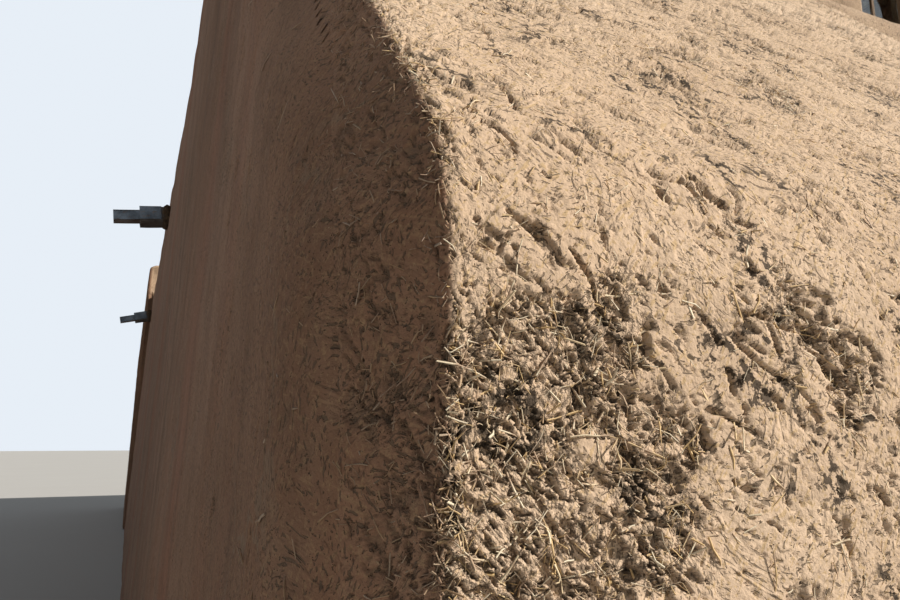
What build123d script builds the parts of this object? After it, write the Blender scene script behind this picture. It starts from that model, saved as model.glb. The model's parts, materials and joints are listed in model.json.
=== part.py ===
"""Adobe house of thick battered earth walls: a long flat-roofed ground storey with a massive corner
buttress, a higher room at its far end, and a smaller room set back on the front of its roof.

Millimetres, +Z up. The origin is on the ground, at the middle of the long block's plan. The front of
the house looks towards -Y, and the long blank wall with its roof drains looks towards -X.
"""
import os
from math import atan2, degrees

from build123d import *

os.makedirs("parts", exist_ok=True)

# Long block: outer plan on the ground, parapets and batter
BLOCK_WIDTH = 7500
BLOCK_LENGTH = 12750
SIDE_PARAPET_RISE = 560
FRONT_PARAPET_RISE = 140
BATTER = 1 / 23
SIDE_WALL = 780
FRONT_WALL = 800
CORNER_ROUND = 260
TOP_ROUND = 90

# Roof of the long block: a ledge carries the logs, and the parapet above it is thinner
ROOM_HEIGHT = 3200
LEDGE = 230
LOG_DIAMETER = 240
LOG_SPACING = 760
DECK = 60
ROOF_EARTH = 240
FLOOR = 100

# Corner buttress
BUTTRESS_WIDTH = 2630
BUTTRESS_LENGTH = 1870
SHOULDER_HEIGHT = 1810
SHOULDER_ROUND = 300
BUTTRESS_SLOPE = 48
BUTTRESS_CORNER = 160

# Rear room: taller, and a little wider than the long block
REAR_WIDTH = 7560
REAR_LENGTH = 5000
REAR_PARAPET_RISE = 680
REAR_BATTER = 1 / 60
REAR_WALL = 680
REAR_ROOM_HEIGHT = 3680
REAR_LEDGE = 200

# Upper room: set back from the front, its right-hand wall carries on up from the one below
UPPER_SETBACK = 1350
UPPER_WIDTH = 4490
UPPER_LENGTH = 4800
UPPER_PARAPET_RISE = 340
UPPER_BATTER = 1 / 40
UPPER_WALL = 450
UPPER_ROOM_HEIGHT = 2210
UPPER_LEDGE = 130
UPPER_LOG = 190
UPPER_EARTH = 160
UPPER_TOP_ROUND = 50

# Doorways and windows
DOOR_WIDTH = 1000
DOOR_HEIGHT = 1950
REAR_DOOR_WIDTH = 900
UPPER_DOOR_WIDTH = 820
UPPER_DOOR_HEIGHT = 1700
WINDOW_WIDTH = 760
WINDOW_HEIGHT = 840
WINDOW_SILL = 1050
UPPER_WINDOW_WIDTH = 800
UPPER_WINDOW_SILL = 910
FRONT_WINDOW_OFFSET = 1600
UPPER_WINDOW_OFFSET = 1700
RIGHT_WINDOW_OFFSET = 3175
REAR_DOOR_OFFSET = 2300
UPPER_DOOR_OFFSET = 3300
LINTEL_HEIGHT = 140
LINTEL_BEARING = 230
LINTEL_COVER = 130
FRAME_DEPTH = 110
FRAME_BAR = 65
FRAME_RECESS = 170
MUNTIN = 28
GLASS = 5
LEAF = 45
BATTEN = 28
BATTEN_WIDTH = 120
BATTEN_SHARES = (0.2, 0.75)

# Roof drains: a timber trough through the parapet and a sheet-metal spout laid in it
DRAIN_WIDTH = 250
DRAIN_HEIGHT = 160
DRAIN_REACH = 260
DRAIN_BOARD = 30
SPOUT_WIDTH = 170
SPOUT_HEIGHT = 95
SPOUT_REACH = 520
SPOUT_SHEET = 5
SPOUT_LAP = 330
FRONT_DRAIN_OFFSET = 5650
REAR_DRAIN_OFFSET = 400
RIGHT_DRAIN_OFFSET = 1675
REAR_ROOM_DRAIN_OFFSET = 3600
REAR_DRAIN_TILT = 5

# Levels and lines that follow from the sizes above
front_face = -BLOCK_LENGTH / 2
rear_face = BLOCK_LENGTH / 2
side_face = BLOCK_WIDTH / 2
room_side = side_face - SIDE_WALL
room_front = front_face + FRONT_WALL
window_sill = FLOOR + WINDOW_SILL
ledge_level = FLOOR + ROOM_HEIGHT
deck_level = ledge_level + LOG_DIAMETER
earth_level = deck_level + DECK
roof_level = earth_level + ROOF_EARTH
side_parapet = roof_level + SIDE_PARAPET_RISE
front_parapet = roof_level + FRONT_PARAPET_RISE
rear_side = REAR_WIDTH / 2
rear_end = rear_face + REAR_LENGTH
rear_room_side = rear_side - REAR_WALL
rear_ledge_level = FLOOR + REAR_ROOM_HEIGHT
rear_deck_level = rear_ledge_level + LOG_DIAMETER
rear_roof_level = rear_deck_level + DECK + ROOF_EARTH
rear_parapet = rear_roof_level + REAR_PARAPET_RISE
upper_front = front_face + UPPER_SETBACK
upper_rear = upper_front + UPPER_LENGTH
upper_right = side_face - earth_level * BATTER
upper_left = upper_right - UPPER_WIDTH
upper_ledge_level = roof_level + UPPER_ROOM_HEIGHT
upper_deck_level = upper_ledge_level + UPPER_LOG
upper_roof_level = upper_deck_level + DECK + UPPER_EARTH
upper_parapet = upper_roof_level + UPPER_PARAPET_RISE
buttress_front = front_face - BUTTRESS_LENGTH
front_window_x = side_face - FRONT_WINDOW_OFFSET
front_door_x = (BUTTRESS_WIDTH - side_face + front_window_x - WINDOW_WIDTH / 2) / 2
right_window_front = front_face + RIGHT_WINDOW_OFFSET
right_window_rear = rear_face - RIGHT_WINDOW_OFFSET
upper_window_x = upper_right - UPPER_WINDOW_OFFSET
BEYOND = 2000
NEAR = 1

# Plan corners that are rounded: front left, rear left, front right, rear right
right_front = (False, False, True, False)
rear_corners = (False, True, False, True)
all_corners = (True, True, True, True)


def box_between(low, high, mode=Mode.ADD):
    """Adds, cuts or keeps the upright box between two corners in the part being built."""
    size = [top - bottom for bottom, top in zip(low, high)]
    middle = [(top + bottom) / 2 for bottom, top in zip(low, high)]
    with Locations(tuple(middle)):
        Box(*size, mode=mode)


def battered_block(low, high, insets, rounded):
    """Adds a block between two corners that leans in towards its top.

    insets are how far the top lies inside the foot on the left, right, front and rear, and rounded
    says for each plan corner whether it is rounded.
    """
    left, right, front, rear = insets
    sections = []
    for level, (x0, x1, y0, y1) in (
        (low[2], (low[0], high[0], low[1], high[1])),
        (high[2], (low[0] + left, high[0] - right, low[1] + front, high[1] - rear)),
    ):
        with BuildSketch(Plane.XY.offset(level)) as section:
            with Locations(((x0 + x1) / 2, (y0 + y1) / 2)):
                Rectangle(x1 - x0, y1 - y0)
            corners = section.vertices().sort_by(lambda corner: (corner.X > (x0 + x1) / 2, corner.Y))
            fillet([corner for corner, is_round in zip(corners, rounded) if is_round], CORNER_ROUND)
        sections.append(section.sketch)
    loft(sections, ruled=True)


def round_top(part, level, radius, keep_sharp=None):
    """Rounds the edges of a parapet's top, apart from those that another wall closes."""
    edges = [edge for edge in part.edges() if abs(edge.bounding_box().min.Z - level) < NEAR]
    if keep_sharp is not None:
        edges = [edge for edge in edges if abs((edge @ 0.5).Y - keep_sharp) > NEAR]
    fillet(edges, radius)


def save(part, name):
    """Labels a finished piece and writes it."""
    part.part.label = name
    export_step(part.part, f"parts/{name}.step")


# Timber and metal: shapes shared by the openings and the drains


class Opening:
    """A doorway or window: where it is, and the timber that goes with it."""

    def __init__(self, side, face, inner_face, along, width, sill, height, lean=0):
        self.side = side
        self.along = along
        self.width = width
        self.sill = sill
        self.height = height
        self.head = sill + height
        self.inward = 1 if side in ("front", "left") else -1
        self.face = face
        self.inner_face = inner_face
        self.outer_at_head = face + self.inward * lean * (self.head + LINTEL_HEIGHT)
        self.frame_face = face + self.inward * (lean * sill + FRAME_RECESS)

    def box(self, start, stop, grow=0, low=None, high=None):
        """Corners of a box across the opening between two distances on the wall's own axis."""
        near, far = min(start, stop), max(start, stop)
        left, right = self.along - self.width / 2 - grow, self.along + self.width / 2 + grow
        bottom = self.sill if low is None else low
        top = self.head if high is None else high
        if self.side in ("front", "rear"):
            return (left, near, bottom), (right, far, top)
        return (near, left, bottom), (far, right, top)

    def cut_through(self):
        """Cuts the opening and its lintel's bed out of the wall being built."""
        outside = self.face - self.inward * BEYOND
        inside = self.inner_face + self.inward * BEYOND
        box_between(*self.box(outside, inside), mode=Mode.SUBTRACT)
        box_between(*self.lintel_box(), mode=Mode.SUBTRACT)

    def lintel_box(self):
        """Corners of the lintel, which stops short of the outer plaster."""
        start = self.outer_at_head + self.inward * LINTEL_COVER
        return self.box(start, self.inner_face, LINTEL_BEARING, self.head, self.head + LINTEL_HEIGHT)

    def frame(self, bottom_bar=True):
        """Adds the timber frame that fills the opening's edge."""
        back = self.frame_face + self.inward * FRAME_DEPTH
        box_between(*self.box(self.frame_face, back))
        low = self.sill + FRAME_BAR if bottom_bar else self.sill
        inner = self.box(
            self.frame_face - self.inward * FRAME_DEPTH,
            back + self.inward * FRAME_DEPTH,
            -FRAME_BAR,
            low,
            self.head - FRAME_BAR,
        )
        box_between(*inner, mode=Mode.SUBTRACT)

    def muntins(self):
        """Adds the two thin bars that cross in a window's frame."""
        middle = self.frame_face + self.inward * FRAME_DEPTH / 2
        half = MUNTIN / 2
        centre = (self.sill + self.head) / 2
        near, far = middle - half, middle + half
        side_grow = -FRAME_BAR
        upright_grow = -(self.width / 2 - half)
        box_between(*self.box(near, far, side_grow, centre - half, centre + half))
        box_between(*self.box(near, far, upright_grow, self.sill + FRAME_BAR, self.head - FRAME_BAR))

    def panes(self):
        """Adds the four panes of glass between a window's bars."""
        middle = self.frame_face + self.inward * FRAME_DEPTH / 2
        near, far = middle - GLASS / 2, middle + GLASS / 2
        centre = (self.sill + self.head) / 2
        low, high = self.sill + FRAME_BAR, self.head - FRAME_BAR
        half = MUNTIN / 2
        box_between(*self.box(near, far, -FRAME_BAR, low, high))
        box_between(*self.box(near, far, 0, centre - half, centre + half), mode=Mode.SUBTRACT)
        box_between(*self.box(near, far, -(self.width / 2 - half)), mode=Mode.SUBTRACT)


openings = {
    "front_door": Opening(
        "front", front_face, room_front, front_door_x, DOOR_WIDTH, FLOOR, DOOR_HEIGHT, BATTER
    ),
    "front_window": Opening(
        "front", front_face, room_front, front_window_x, WINDOW_WIDTH, window_sill, WINDOW_HEIGHT, BATTER
    ),
    "right_front_window": Opening(
        "right", side_face, room_side, right_window_front, WINDOW_WIDTH, window_sill, WINDOW_HEIGHT, BATTER
    ),
    "right_rear_window": Opening(
        "right", side_face, room_side, right_window_rear, WINDOW_WIDTH, window_sill, WINDOW_HEIGHT, BATTER
    ),
    "rear_room_door": Opening(
        "right", rear_side, rear_room_side, rear_face + REAR_DOOR_OFFSET, REAR_DOOR_WIDTH, FLOOR, DOOR_HEIGHT, REAR_BATTER
    ),
    "rear_room_window": Opening(
        "rear", rear_end, rear_end - REAR_WALL, 0, WINDOW_WIDTH, window_sill, WINDOW_HEIGHT, REAR_BATTER
    ),
    "upper_window": Opening(
        "front", upper_front, upper_front + UPPER_WALL, upper_window_x, UPPER_WINDOW_WIDTH,
        roof_level + UPPER_WINDOW_SILL, WINDOW_HEIGHT,
    ),
    "upper_door": Opening(
        "left", upper_left, upper_left + UPPER_WALL, upper_front + UPPER_DOOR_OFFSET, UPPER_DOOR_WIDTH, roof_level,
        UPPER_DOOR_HEIGHT,
    ),
}


def log_lines(low, high, spacing):
    """Even places for roof logs between two walls, half a space in from each."""
    count = round((high - low) / spacing)
    step = (high - low) / count
    return [low + step * (index + 0.5) for index in range(count)]


def log_row(places, half_length, middle, underside, diameter):
    """Adds one round log along X at each place."""
    for place in places:
        with BuildSketch(Plane.YZ.offset(middle - half_length)) as log_end:
            with Locations((place, underside + diameter / 2)):
                Circle(diameter / 2)
        extrude(log_end.sketch, amount=2 * half_length)


class Drain:
    """A roof drain: a timber trough through the parapet, and the spout that lies in it."""

    def __init__(self, side, face, inner_face, y, level, tilt=0):
        self.reach = DRAIN_REACH
        self.inside = abs(face - inner_face)
        self.place = Location((face, y, level), (0, 0, 180 if side == "left" else 0)) * Location(
            (0, 0, 0), (0, tilt, 0)
        )

    def trough(self):
        """Adds the trough: a bottom board and two sides, open along its top."""
        length = self.inside + self.reach
        with Locations(self.place * Pos((self.reach - self.inside) / 2, 0, DRAIN_HEIGHT / 2)):
            Box(length, DRAIN_WIDTH, DRAIN_HEIGHT)
        channel = DRAIN_WIDTH - 2 * DRAIN_BOARD
        with Locations(self.place * Pos((self.reach - self.inside) / 2, 0, DRAIN_HEIGHT / 2 + DRAIN_BOARD)):
            Box(length + BEYOND, channel, DRAIN_HEIGHT, mode=Mode.SUBTRACT)

    def bed(self):
        """Cuts the trough's way through the parapet being built."""
        with Locations(self.place * Pos((self.reach - self.inside) / 2, 0, DRAIN_HEIGHT / 2)):
            Box(self.inside + self.reach, DRAIN_WIDTH, DRAIN_HEIGHT, mode=Mode.SUBTRACT)

    def spout(self):
        """Adds the open sheet-metal spout that lies on the trough's bottom board."""
        length = SPOUT_REACH - self.reach + SPOUT_LAP
        middle = SPOUT_REACH - length / 2
        with Locations(self.place * Pos(middle, 0, DRAIN_BOARD + SPOUT_HEIGHT / 2)):
            Box(length, SPOUT_WIDTH, SPOUT_HEIGHT)
        with Locations(self.place * Pos(middle, 0, DRAIN_BOARD + SPOUT_HEIGHT / 2 + SPOUT_SHEET)):
            Box(length + BEYOND, SPOUT_WIDTH - 2 * SPOUT_SHEET, SPOUT_HEIGHT, mode=Mode.SUBTRACT)


drain_level = roof_level - DRAIN_BOARD
drain_face = side_face - drain_level * BATTER
parapet_inner = room_side + LEDGE
rear_drain_level = rear_roof_level - DRAIN_BOARD
rear_drain_face = rear_side - rear_drain_level * REAR_BATTER
rear_parapet_inner = rear_room_side + REAR_LEDGE
drains = {
    "left_front": Drain("left", -drain_face, -parapet_inner, front_face + FRONT_DRAIN_OFFSET, drain_level),
    "left_rear": Drain("left", -drain_face, -parapet_inner, rear_face - REAR_DRAIN_OFFSET, drain_level, REAR_DRAIN_TILT),
    "right_rear": Drain("right", drain_face, parapet_inner, rear_face - RIGHT_DRAIN_OFFSET, drain_level),
    "rear_room": Drain("right", rear_drain_face, rear_parapet_inner, rear_face + REAR_ROOM_DRAIN_OFFSET, rear_drain_level),
}

# Whole earth masses, which the walls are cut from

side_inset = side_parapet * BATTER
with BuildPart() as block_mass:
    battered_block(
        (-side_face, front_face, 0),
        (side_face, rear_face, side_parapet),
        (side_inset, side_inset, side_inset, 0),
        right_front,
    )
    box_between((-room_side, room_front, 0), (room_side, rear_face + BEYOND, side_parapet), Mode.SUBTRACT)
    box_between(
        (-parapet_inner, room_front - LEDGE, ledge_level),
        (parapet_inner, rear_face + BEYOND, side_parapet + BEYOND),
        Mode.SUBTRACT,
    )
    round_top(block_mass, side_parapet, TOP_ROUND, rear_face)

rear_inset = rear_parapet * REAR_BATTER
with BuildPart() as rear_mass:
    battered_block(
        (-rear_side, rear_face, 0),
        (rear_side, rear_end, rear_parapet),
        (rear_inset, rear_inset, 0, rear_inset),
        rear_corners,
    )
    box_between(
        (-rear_room_side, rear_face + REAR_WALL, 0),
        (rear_room_side, rear_end - REAR_WALL, rear_parapet),
        Mode.SUBTRACT,
    )
    box_between(
        (-rear_parapet_inner, rear_face + REAR_WALL - REAR_LEDGE, rear_ledge_level),
        (rear_parapet_inner, rear_end - REAR_WALL + REAR_LEDGE, rear_parapet + BEYOND),
        Mode.SUBTRACT,
    )
    round_top(rear_mass, rear_parapet, TOP_ROUND)

upper_rise = upper_parapet - earth_level
upper_inset = upper_rise * UPPER_BATTER
with BuildPart() as upper_mass:
    battered_block(
        (upper_left, upper_front, earth_level),
        (upper_right, upper_rear, upper_parapet),
        (upper_inset, upper_rise * BATTER, 0, upper_inset),
        all_corners,
    )
    box_between(
        (upper_left + UPPER_WALL, upper_front + UPPER_WALL, earth_level),
        (upper_right - UPPER_WALL, upper_rear - UPPER_WALL, upper_parapet),
        Mode.SUBTRACT,
    )
    ledge_wall = UPPER_WALL - UPPER_LEDGE
    box_between(
        (upper_left + ledge_wall, upper_front + ledge_wall, upper_ledge_level),
        (upper_right - ledge_wall, upper_rear - ledge_wall, upper_parapet + BEYOND),
        Mode.SUBTRACT,
    )
    round_top(upper_mass, upper_parapet, UPPER_TOP_ROUND)

# Walls of the long block

TALL = upper_parapet + BEYOND

with BuildPart() as left_wall:
    add(block_mass.part)
    box_between((-side_face, front_face, 0), (-room_side, rear_face, TALL), Mode.INTERSECT)
    drains["left_front"].bed()
    drains["left_rear"].bed()
save(left_wall, "left_wall")

door = openings["front_door"]
door_left = door.along - door.width / 2
door_right = door.along + door.width / 2

with BuildPart() as front_wall_left:
    add(block_mass.part)
    box_between((-room_side, front_face, 0), (door_left, room_front, front_parapet), Mode.INTERSECT)
    door.cut_through()
save(front_wall_left, "front_wall_left")

with BuildPart() as front_wall_right:
    add(block_mass.part)
    box_between((door_right, front_face, 0), (room_side, room_front, front_parapet), Mode.INTERSECT)
    door.cut_through()
    openings["front_window"].cut_through()
save(front_wall_right, "front_wall_right")

with BuildPart() as front_wall_over_door:
    add(block_mass.part)
    box_between((door_left, front_face, door.head), (door_right, room_front, front_parapet), Mode.INTERSECT)
    door.cut_through()
save(front_wall_over_door, "front_wall_over_door")

with BuildPart() as front_threshold:
    add(block_mass.part)
    box_between((door_left, front_face, 0), (door_right, room_front, FLOOR), Mode.INTERSECT)
save(front_threshold, "front_threshold")

with BuildPart() as right_wall_front:
    add(block_mass.part)
    box_between((room_side, front_face, 0), (side_face, upper_rear, front_parapet), Mode.INTERSECT)
    box_between((room_side, upper_front, earth_level), (side_face, upper_rear, TALL), Mode.SUBTRACT)
    openings["right_front_window"].cut_through()
save(right_wall_front, "right_wall_front")

with BuildPart() as right_wall_rear:
    add(block_mass.part)
    box_between((room_side, upper_rear, 0), (side_face, rear_face, TALL), Mode.INTERSECT)
    openings["right_rear_window"].cut_through()
    drains["right_rear"].bed()
save(right_wall_rear, "right_wall_rear")

# Corner buttress: upright front, rounded shoulder and a long slope up to the front parapet

with BuildPart() as corner_buttress:
    foot = buttress_front
    shoulder_y = foot + SHOULDER_HEIGHT * BATTER
    rise = Vector(0, 1, 0).rotate(Axis.X, BUTTRESS_SLOPE)
    run = (front_parapet - SHOULDER_HEIGHT) / rise.Z * rise.Y
    crest_y = shoulder_y + run
    with BuildSketch(Plane.YZ.offset(-side_face)) as profile:
        with BuildLine():
            Polyline(
                (foot, 0),
                (shoulder_y, SHOULDER_HEIGHT),
                (crest_y, front_parapet),
                (front_face + SIDE_WALL, front_parapet),
                (front_face + SIDE_WALL, 0),
                close=True,
            )
        make_face()
        fillet(profile.vertices().sort_by_distance((-side_face, shoulder_y, SHOULDER_HEIGHT))[0], SHOULDER_ROUND)
    extrude(amount=BUTTRESS_WIDTH)
    lean = degrees(atan2(BATTER, 1))
    left_plane = Plane(origin=(-side_face, 0, 0), z_dir=Vector(1, 0, -BATTER))
    right_plane = Plane(origin=(BUTTRESS_WIDTH - side_face, 0, 0), z_dir=Vector(-1, 0, -BATTER))
    front_plane = Plane(origin=(0, front_face, 0), z_dir=Vector(0, -1, BATTER))
    split(bisect_by=left_plane, keep=Keep.TOP)
    split(bisect_by=right_plane, keep=Keep.TOP)
    split(bisect_by=front_plane, keep=Keep.TOP)
    for side in (left_plane, right_plane):
        arris = [
            edge
            for edge in corner_buttress.edges()
            if abs(side.to_local_coords(edge @ 0.5).Z) < NEAR
            and edge.bounding_box().max.Z > NEAR
            and abs(front_plane.to_local_coords(edge @ 0.5).Z) > NEAR
            and (edge @ 0.5).Z < front_parapet - NEAR
        ]
        fillet(arris, BUTTRESS_CORNER)
save(corner_buttress, "corner_buttress")

# Rear room walls: the one towards the front also closes the long block

with BuildPart() as rear_room_front_wall:
    add(rear_mass.part)
    box_between((-rear_side, rear_face, 0), (rear_side, rear_face + REAR_WALL, TALL), Mode.INTERSECT)
save(rear_room_front_wall, "rear_room_front_wall")

rear_inner_end = rear_end - REAR_WALL
with BuildPart() as rear_room_left_wall:
    add(rear_mass.part)
    box_between(
        (-rear_side, rear_face + REAR_WALL, 0), (-rear_room_side, rear_end, TALL), Mode.INTERSECT
    )
save(rear_room_left_wall, "rear_room_left_wall")

with BuildPart() as rear_room_right_wall:
    add(rear_mass.part)
    box_between((rear_room_side, rear_face + REAR_WALL, 0), (rear_side, rear_end, TALL), Mode.INTERSECT)
    openings["rear_room_door"].cut_through()
    drains["rear_room"].bed()
save(rear_room_right_wall, "rear_room_right_wall")

with BuildPart() as rear_room_back_wall:
    add(rear_mass.part)
    box_between((-rear_room_side, rear_inner_end, 0), (rear_room_side, rear_end, TALL), Mode.INTERSECT)
    openings["rear_room_window"].cut_through()
save(rear_room_back_wall, "rear_room_back_wall")

# Upper room walls

upper_room_left = upper_left + UPPER_WALL
upper_room_right = upper_right - UPPER_WALL
upper_room_front = upper_front + UPPER_WALL
upper_room_rear = upper_rear - UPPER_WALL

with BuildPart() as upper_front_wall:
    add(upper_mass.part)
    box_between(
        (upper_room_left, upper_front, 0), (upper_room_right, upper_room_front, TALL), Mode.INTERSECT
    )
    openings["upper_window"].cut_through()
save(upper_front_wall, "upper_front_wall")

with BuildPart() as upper_rear_wall:
    add(upper_mass.part)
    box_between((upper_room_left, upper_room_rear, 0), (upper_room_right, upper_rear, TALL), Mode.INTERSECT)
save(upper_rear_wall, "upper_rear_wall")

with BuildPart() as upper_left_wall:
    add(upper_mass.part)
    box_between((upper_left, upper_front, 0), (upper_room_left, upper_rear, TALL), Mode.INTERSECT)
    openings["upper_door"].cut_through()
save(upper_left_wall, "upper_left_wall")

with BuildPart() as upper_right_wall:
    add(upper_mass.part)
    box_between((upper_room_right, upper_front, 0), (upper_right, upper_rear, TALL), Mode.INTERSECT)
save(upper_right_wall, "upper_right_wall")

# Floors

with BuildPart() as floor:
    box_between((-room_side, room_front, 0), (room_side, rear_face, FLOOR))
save(floor, "floor")

with BuildPart() as rear_room_floor:
    box_between(
        (-rear_room_side, rear_face + REAR_WALL, 0), (rear_room_side, rear_inner_end, FLOOR)
    )
save(rear_room_floor, "rear_room_floor")

with BuildPart() as upper_floor:
    box_between(
        (upper_room_left, upper_room_front, earth_level), (upper_room_right, upper_room_rear, roof_level)
    )
save(upper_floor, "upper_floor")

# Roofs: round logs on the wall ledges, a deck of poles on them and a layer of earth on that

parapet_front = room_front - LEDGE
with BuildPart() as roof_logs:
    log_row(log_lines(room_front, rear_face, LOG_SPACING), parapet_inner, 0, ledge_level, LOG_DIAMETER)
save(roof_logs, "roof_logs")

with BuildPart() as roof_deck:
    box_between((-parapet_inner, parapet_front, deck_level), (parapet_inner, rear_face, earth_level))
save(roof_deck, "roof_deck")

with BuildPart() as roof_earth:
    box_between((-parapet_inner, parapet_front, earth_level), (parapet_inner, rear_face, roof_level))
    box_between(
        (upper_left, upper_front, earth_level), (upper_right, upper_rear, roof_level), Mode.SUBTRACT
    )
save(roof_earth, "roof_earth")

rear_low = rear_face + REAR_WALL - REAR_LEDGE
rear_high = rear_inner_end + REAR_LEDGE
with BuildPart() as rear_roof_logs:
    log_row(
        log_lines(rear_face + REAR_WALL, rear_inner_end, LOG_SPACING),
        rear_parapet_inner,
        0,
        rear_ledge_level,
        LOG_DIAMETER,
    )
save(rear_roof_logs, "rear_roof_logs")

with BuildPart() as rear_roof_deck:
    box_between(
        (-rear_parapet_inner, rear_low, rear_deck_level), (rear_parapet_inner, rear_high, rear_deck_level + DECK)
    )
save(rear_roof_deck, "rear_roof_deck")

with BuildPart() as rear_roof_earth:
    box_between(
        (-rear_parapet_inner, rear_low, rear_deck_level + DECK), (rear_parapet_inner, rear_high, rear_roof_level)
    )
save(rear_roof_earth, "rear_roof_earth")

upper_ledge_left = upper_room_left - UPPER_LEDGE
upper_ledge_right = upper_room_right + UPPER_LEDGE
upper_ledge_front = upper_room_front - UPPER_LEDGE
upper_ledge_rear = upper_room_rear + UPPER_LEDGE
with BuildPart() as upper_roof_logs:
    log_row(
        log_lines(upper_room_front, upper_room_rear, LOG_SPACING),
        (upper_ledge_right - upper_ledge_left) / 2,
        (upper_ledge_left + upper_ledge_right) / 2,
        upper_ledge_level,
        UPPER_LOG,
    )
save(upper_roof_logs, "upper_roof_logs")

with BuildPart() as upper_roof_deck:
    box_between(
        (upper_ledge_left, upper_ledge_front, upper_deck_level),
        (upper_ledge_right, upper_ledge_rear, upper_deck_level + DECK),
    )
save(upper_roof_deck, "upper_roof_deck")

with BuildPart() as upper_roof_earth:
    box_between(
        (upper_ledge_left, upper_ledge_front, upper_deck_level + DECK),
        (upper_ledge_right, upper_ledge_rear, upper_roof_level),
    )
save(upper_roof_earth, "upper_roof_earth")

# Timber of the doorways and windows

for name, opening in openings.items():
    with BuildPart() as lintel:
        box_between(*opening.lintel_box())
    save(lintel, f"{name}_lintel")
    with BuildPart() as frame:
        opening.frame(bottom_bar="window" in name)
        if "window" in name:
            opening.muntins()
    save(frame, f"{name}_frame")

with BuildPart() as ground_window_panes:
    for name in ("front_window", "right_front_window", "right_rear_window", "rear_room_window"):
        openings[name].panes()
save(ground_window_panes, "ground_window_panes")

with BuildPart() as upper_window_panes:
    openings["upper_window"].panes()
save(upper_window_panes, "upper_window_panes")


def door_leaf(opening):
    """Adds a closed plank door in its frame, with two battens across its inner side."""
    back = opening.frame_face + opening.inward * FRAME_DEPTH
    front = back - opening.inward * LEAF
    head = opening.head - FRAME_BAR
    box_between(*opening.box(front, back, -FRAME_BAR, opening.sill, head))
    inner = back + opening.inward * BATTEN
    for share in BATTEN_SHARES:
        low = opening.sill + share * (head - opening.sill)
        box_between(*opening.box(back, inner, -FRAME_BAR - BATTEN_WIDTH / 2, low, low + BATTEN_WIDTH))


with BuildPart() as rear_room_door:
    door_leaf(openings["rear_room_door"])
save(rear_room_door, "rear_room_door")

with BuildPart() as upper_door:
    door_leaf(openings["upper_door"])
save(upper_door, "upper_door")

# Roof drains

with BuildPart() as left_drain_front:
    drains["left_front"].trough()
save(left_drain_front, "left_drain_front")

with BuildPart() as left_spout_front:
    drains["left_front"].spout()
save(left_spout_front, "left_spout_front")

with BuildPart() as left_drain_rear:
    drains["left_rear"].trough()
save(left_drain_rear, "left_drain_rear")

with BuildPart() as left_spout_rear:
    drains["left_rear"].spout()
save(left_spout_rear, "left_spout_rear")

for name in ("right_rear", "rear_room"):
    with BuildPart() as trough:
        drains[name].trough()
    save(trough, f"{name}_drain")
    with BuildPart() as spout:
        drains[name].spout()
    save(spout, f"{name}_spout")
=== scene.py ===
"""Looks of an adobe house: mud and straw plaster, roof drains, timber and earth roofs.

Metres, +Z up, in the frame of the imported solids: the origin is on the ground in the middle of the
long block's plan, -Y looks out of the front and -X out of the long blank wall. Every earth surface
is one relief, worked out from where a point lies, so that coarse and fine skins of a wall agree.
"""

import json
import logging
import math
from dataclasses import dataclass, field
from enum import Enum
from typing import Mapping, Sequence

import bmesh
import bpy
import numpy as np
from mathutils import Matrix, Vector


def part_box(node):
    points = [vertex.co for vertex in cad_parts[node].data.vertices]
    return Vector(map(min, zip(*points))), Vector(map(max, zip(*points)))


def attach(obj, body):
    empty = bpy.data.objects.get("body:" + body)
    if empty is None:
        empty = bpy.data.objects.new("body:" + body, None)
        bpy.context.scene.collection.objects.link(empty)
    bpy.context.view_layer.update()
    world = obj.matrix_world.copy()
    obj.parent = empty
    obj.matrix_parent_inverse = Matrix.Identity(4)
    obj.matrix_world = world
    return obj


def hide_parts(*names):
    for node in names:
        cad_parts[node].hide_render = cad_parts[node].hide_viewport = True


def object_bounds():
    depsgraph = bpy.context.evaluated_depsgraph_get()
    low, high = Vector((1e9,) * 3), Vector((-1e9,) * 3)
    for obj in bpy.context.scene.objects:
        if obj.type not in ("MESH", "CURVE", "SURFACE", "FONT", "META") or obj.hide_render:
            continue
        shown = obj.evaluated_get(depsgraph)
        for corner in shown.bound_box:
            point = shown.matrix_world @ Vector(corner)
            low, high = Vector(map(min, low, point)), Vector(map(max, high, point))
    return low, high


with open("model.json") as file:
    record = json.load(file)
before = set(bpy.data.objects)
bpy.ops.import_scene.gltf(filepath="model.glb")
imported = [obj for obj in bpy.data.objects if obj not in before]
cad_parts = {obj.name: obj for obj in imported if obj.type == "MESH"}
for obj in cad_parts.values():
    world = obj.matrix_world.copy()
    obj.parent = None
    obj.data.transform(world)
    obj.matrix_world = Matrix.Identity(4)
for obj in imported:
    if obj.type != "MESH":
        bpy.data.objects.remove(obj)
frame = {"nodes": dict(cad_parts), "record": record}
CAD_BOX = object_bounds()

LOG = logging.getLogger("adobe_house")
ROOT = "root"
PHOTO_WIDTH, PHOTO_HEIGHT = 900, 600

Array = np.ndarray
Colour = tuple[float, float, float]
Triple = tuple[float, float, float]
Span = tuple[float, float]


def corner(node: str, high: bool = False) -> Vector:
    """Lowest, or highest, corner of a CAD node."""
    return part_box(node)[1 if high else 0]


# The photographer's view


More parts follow.
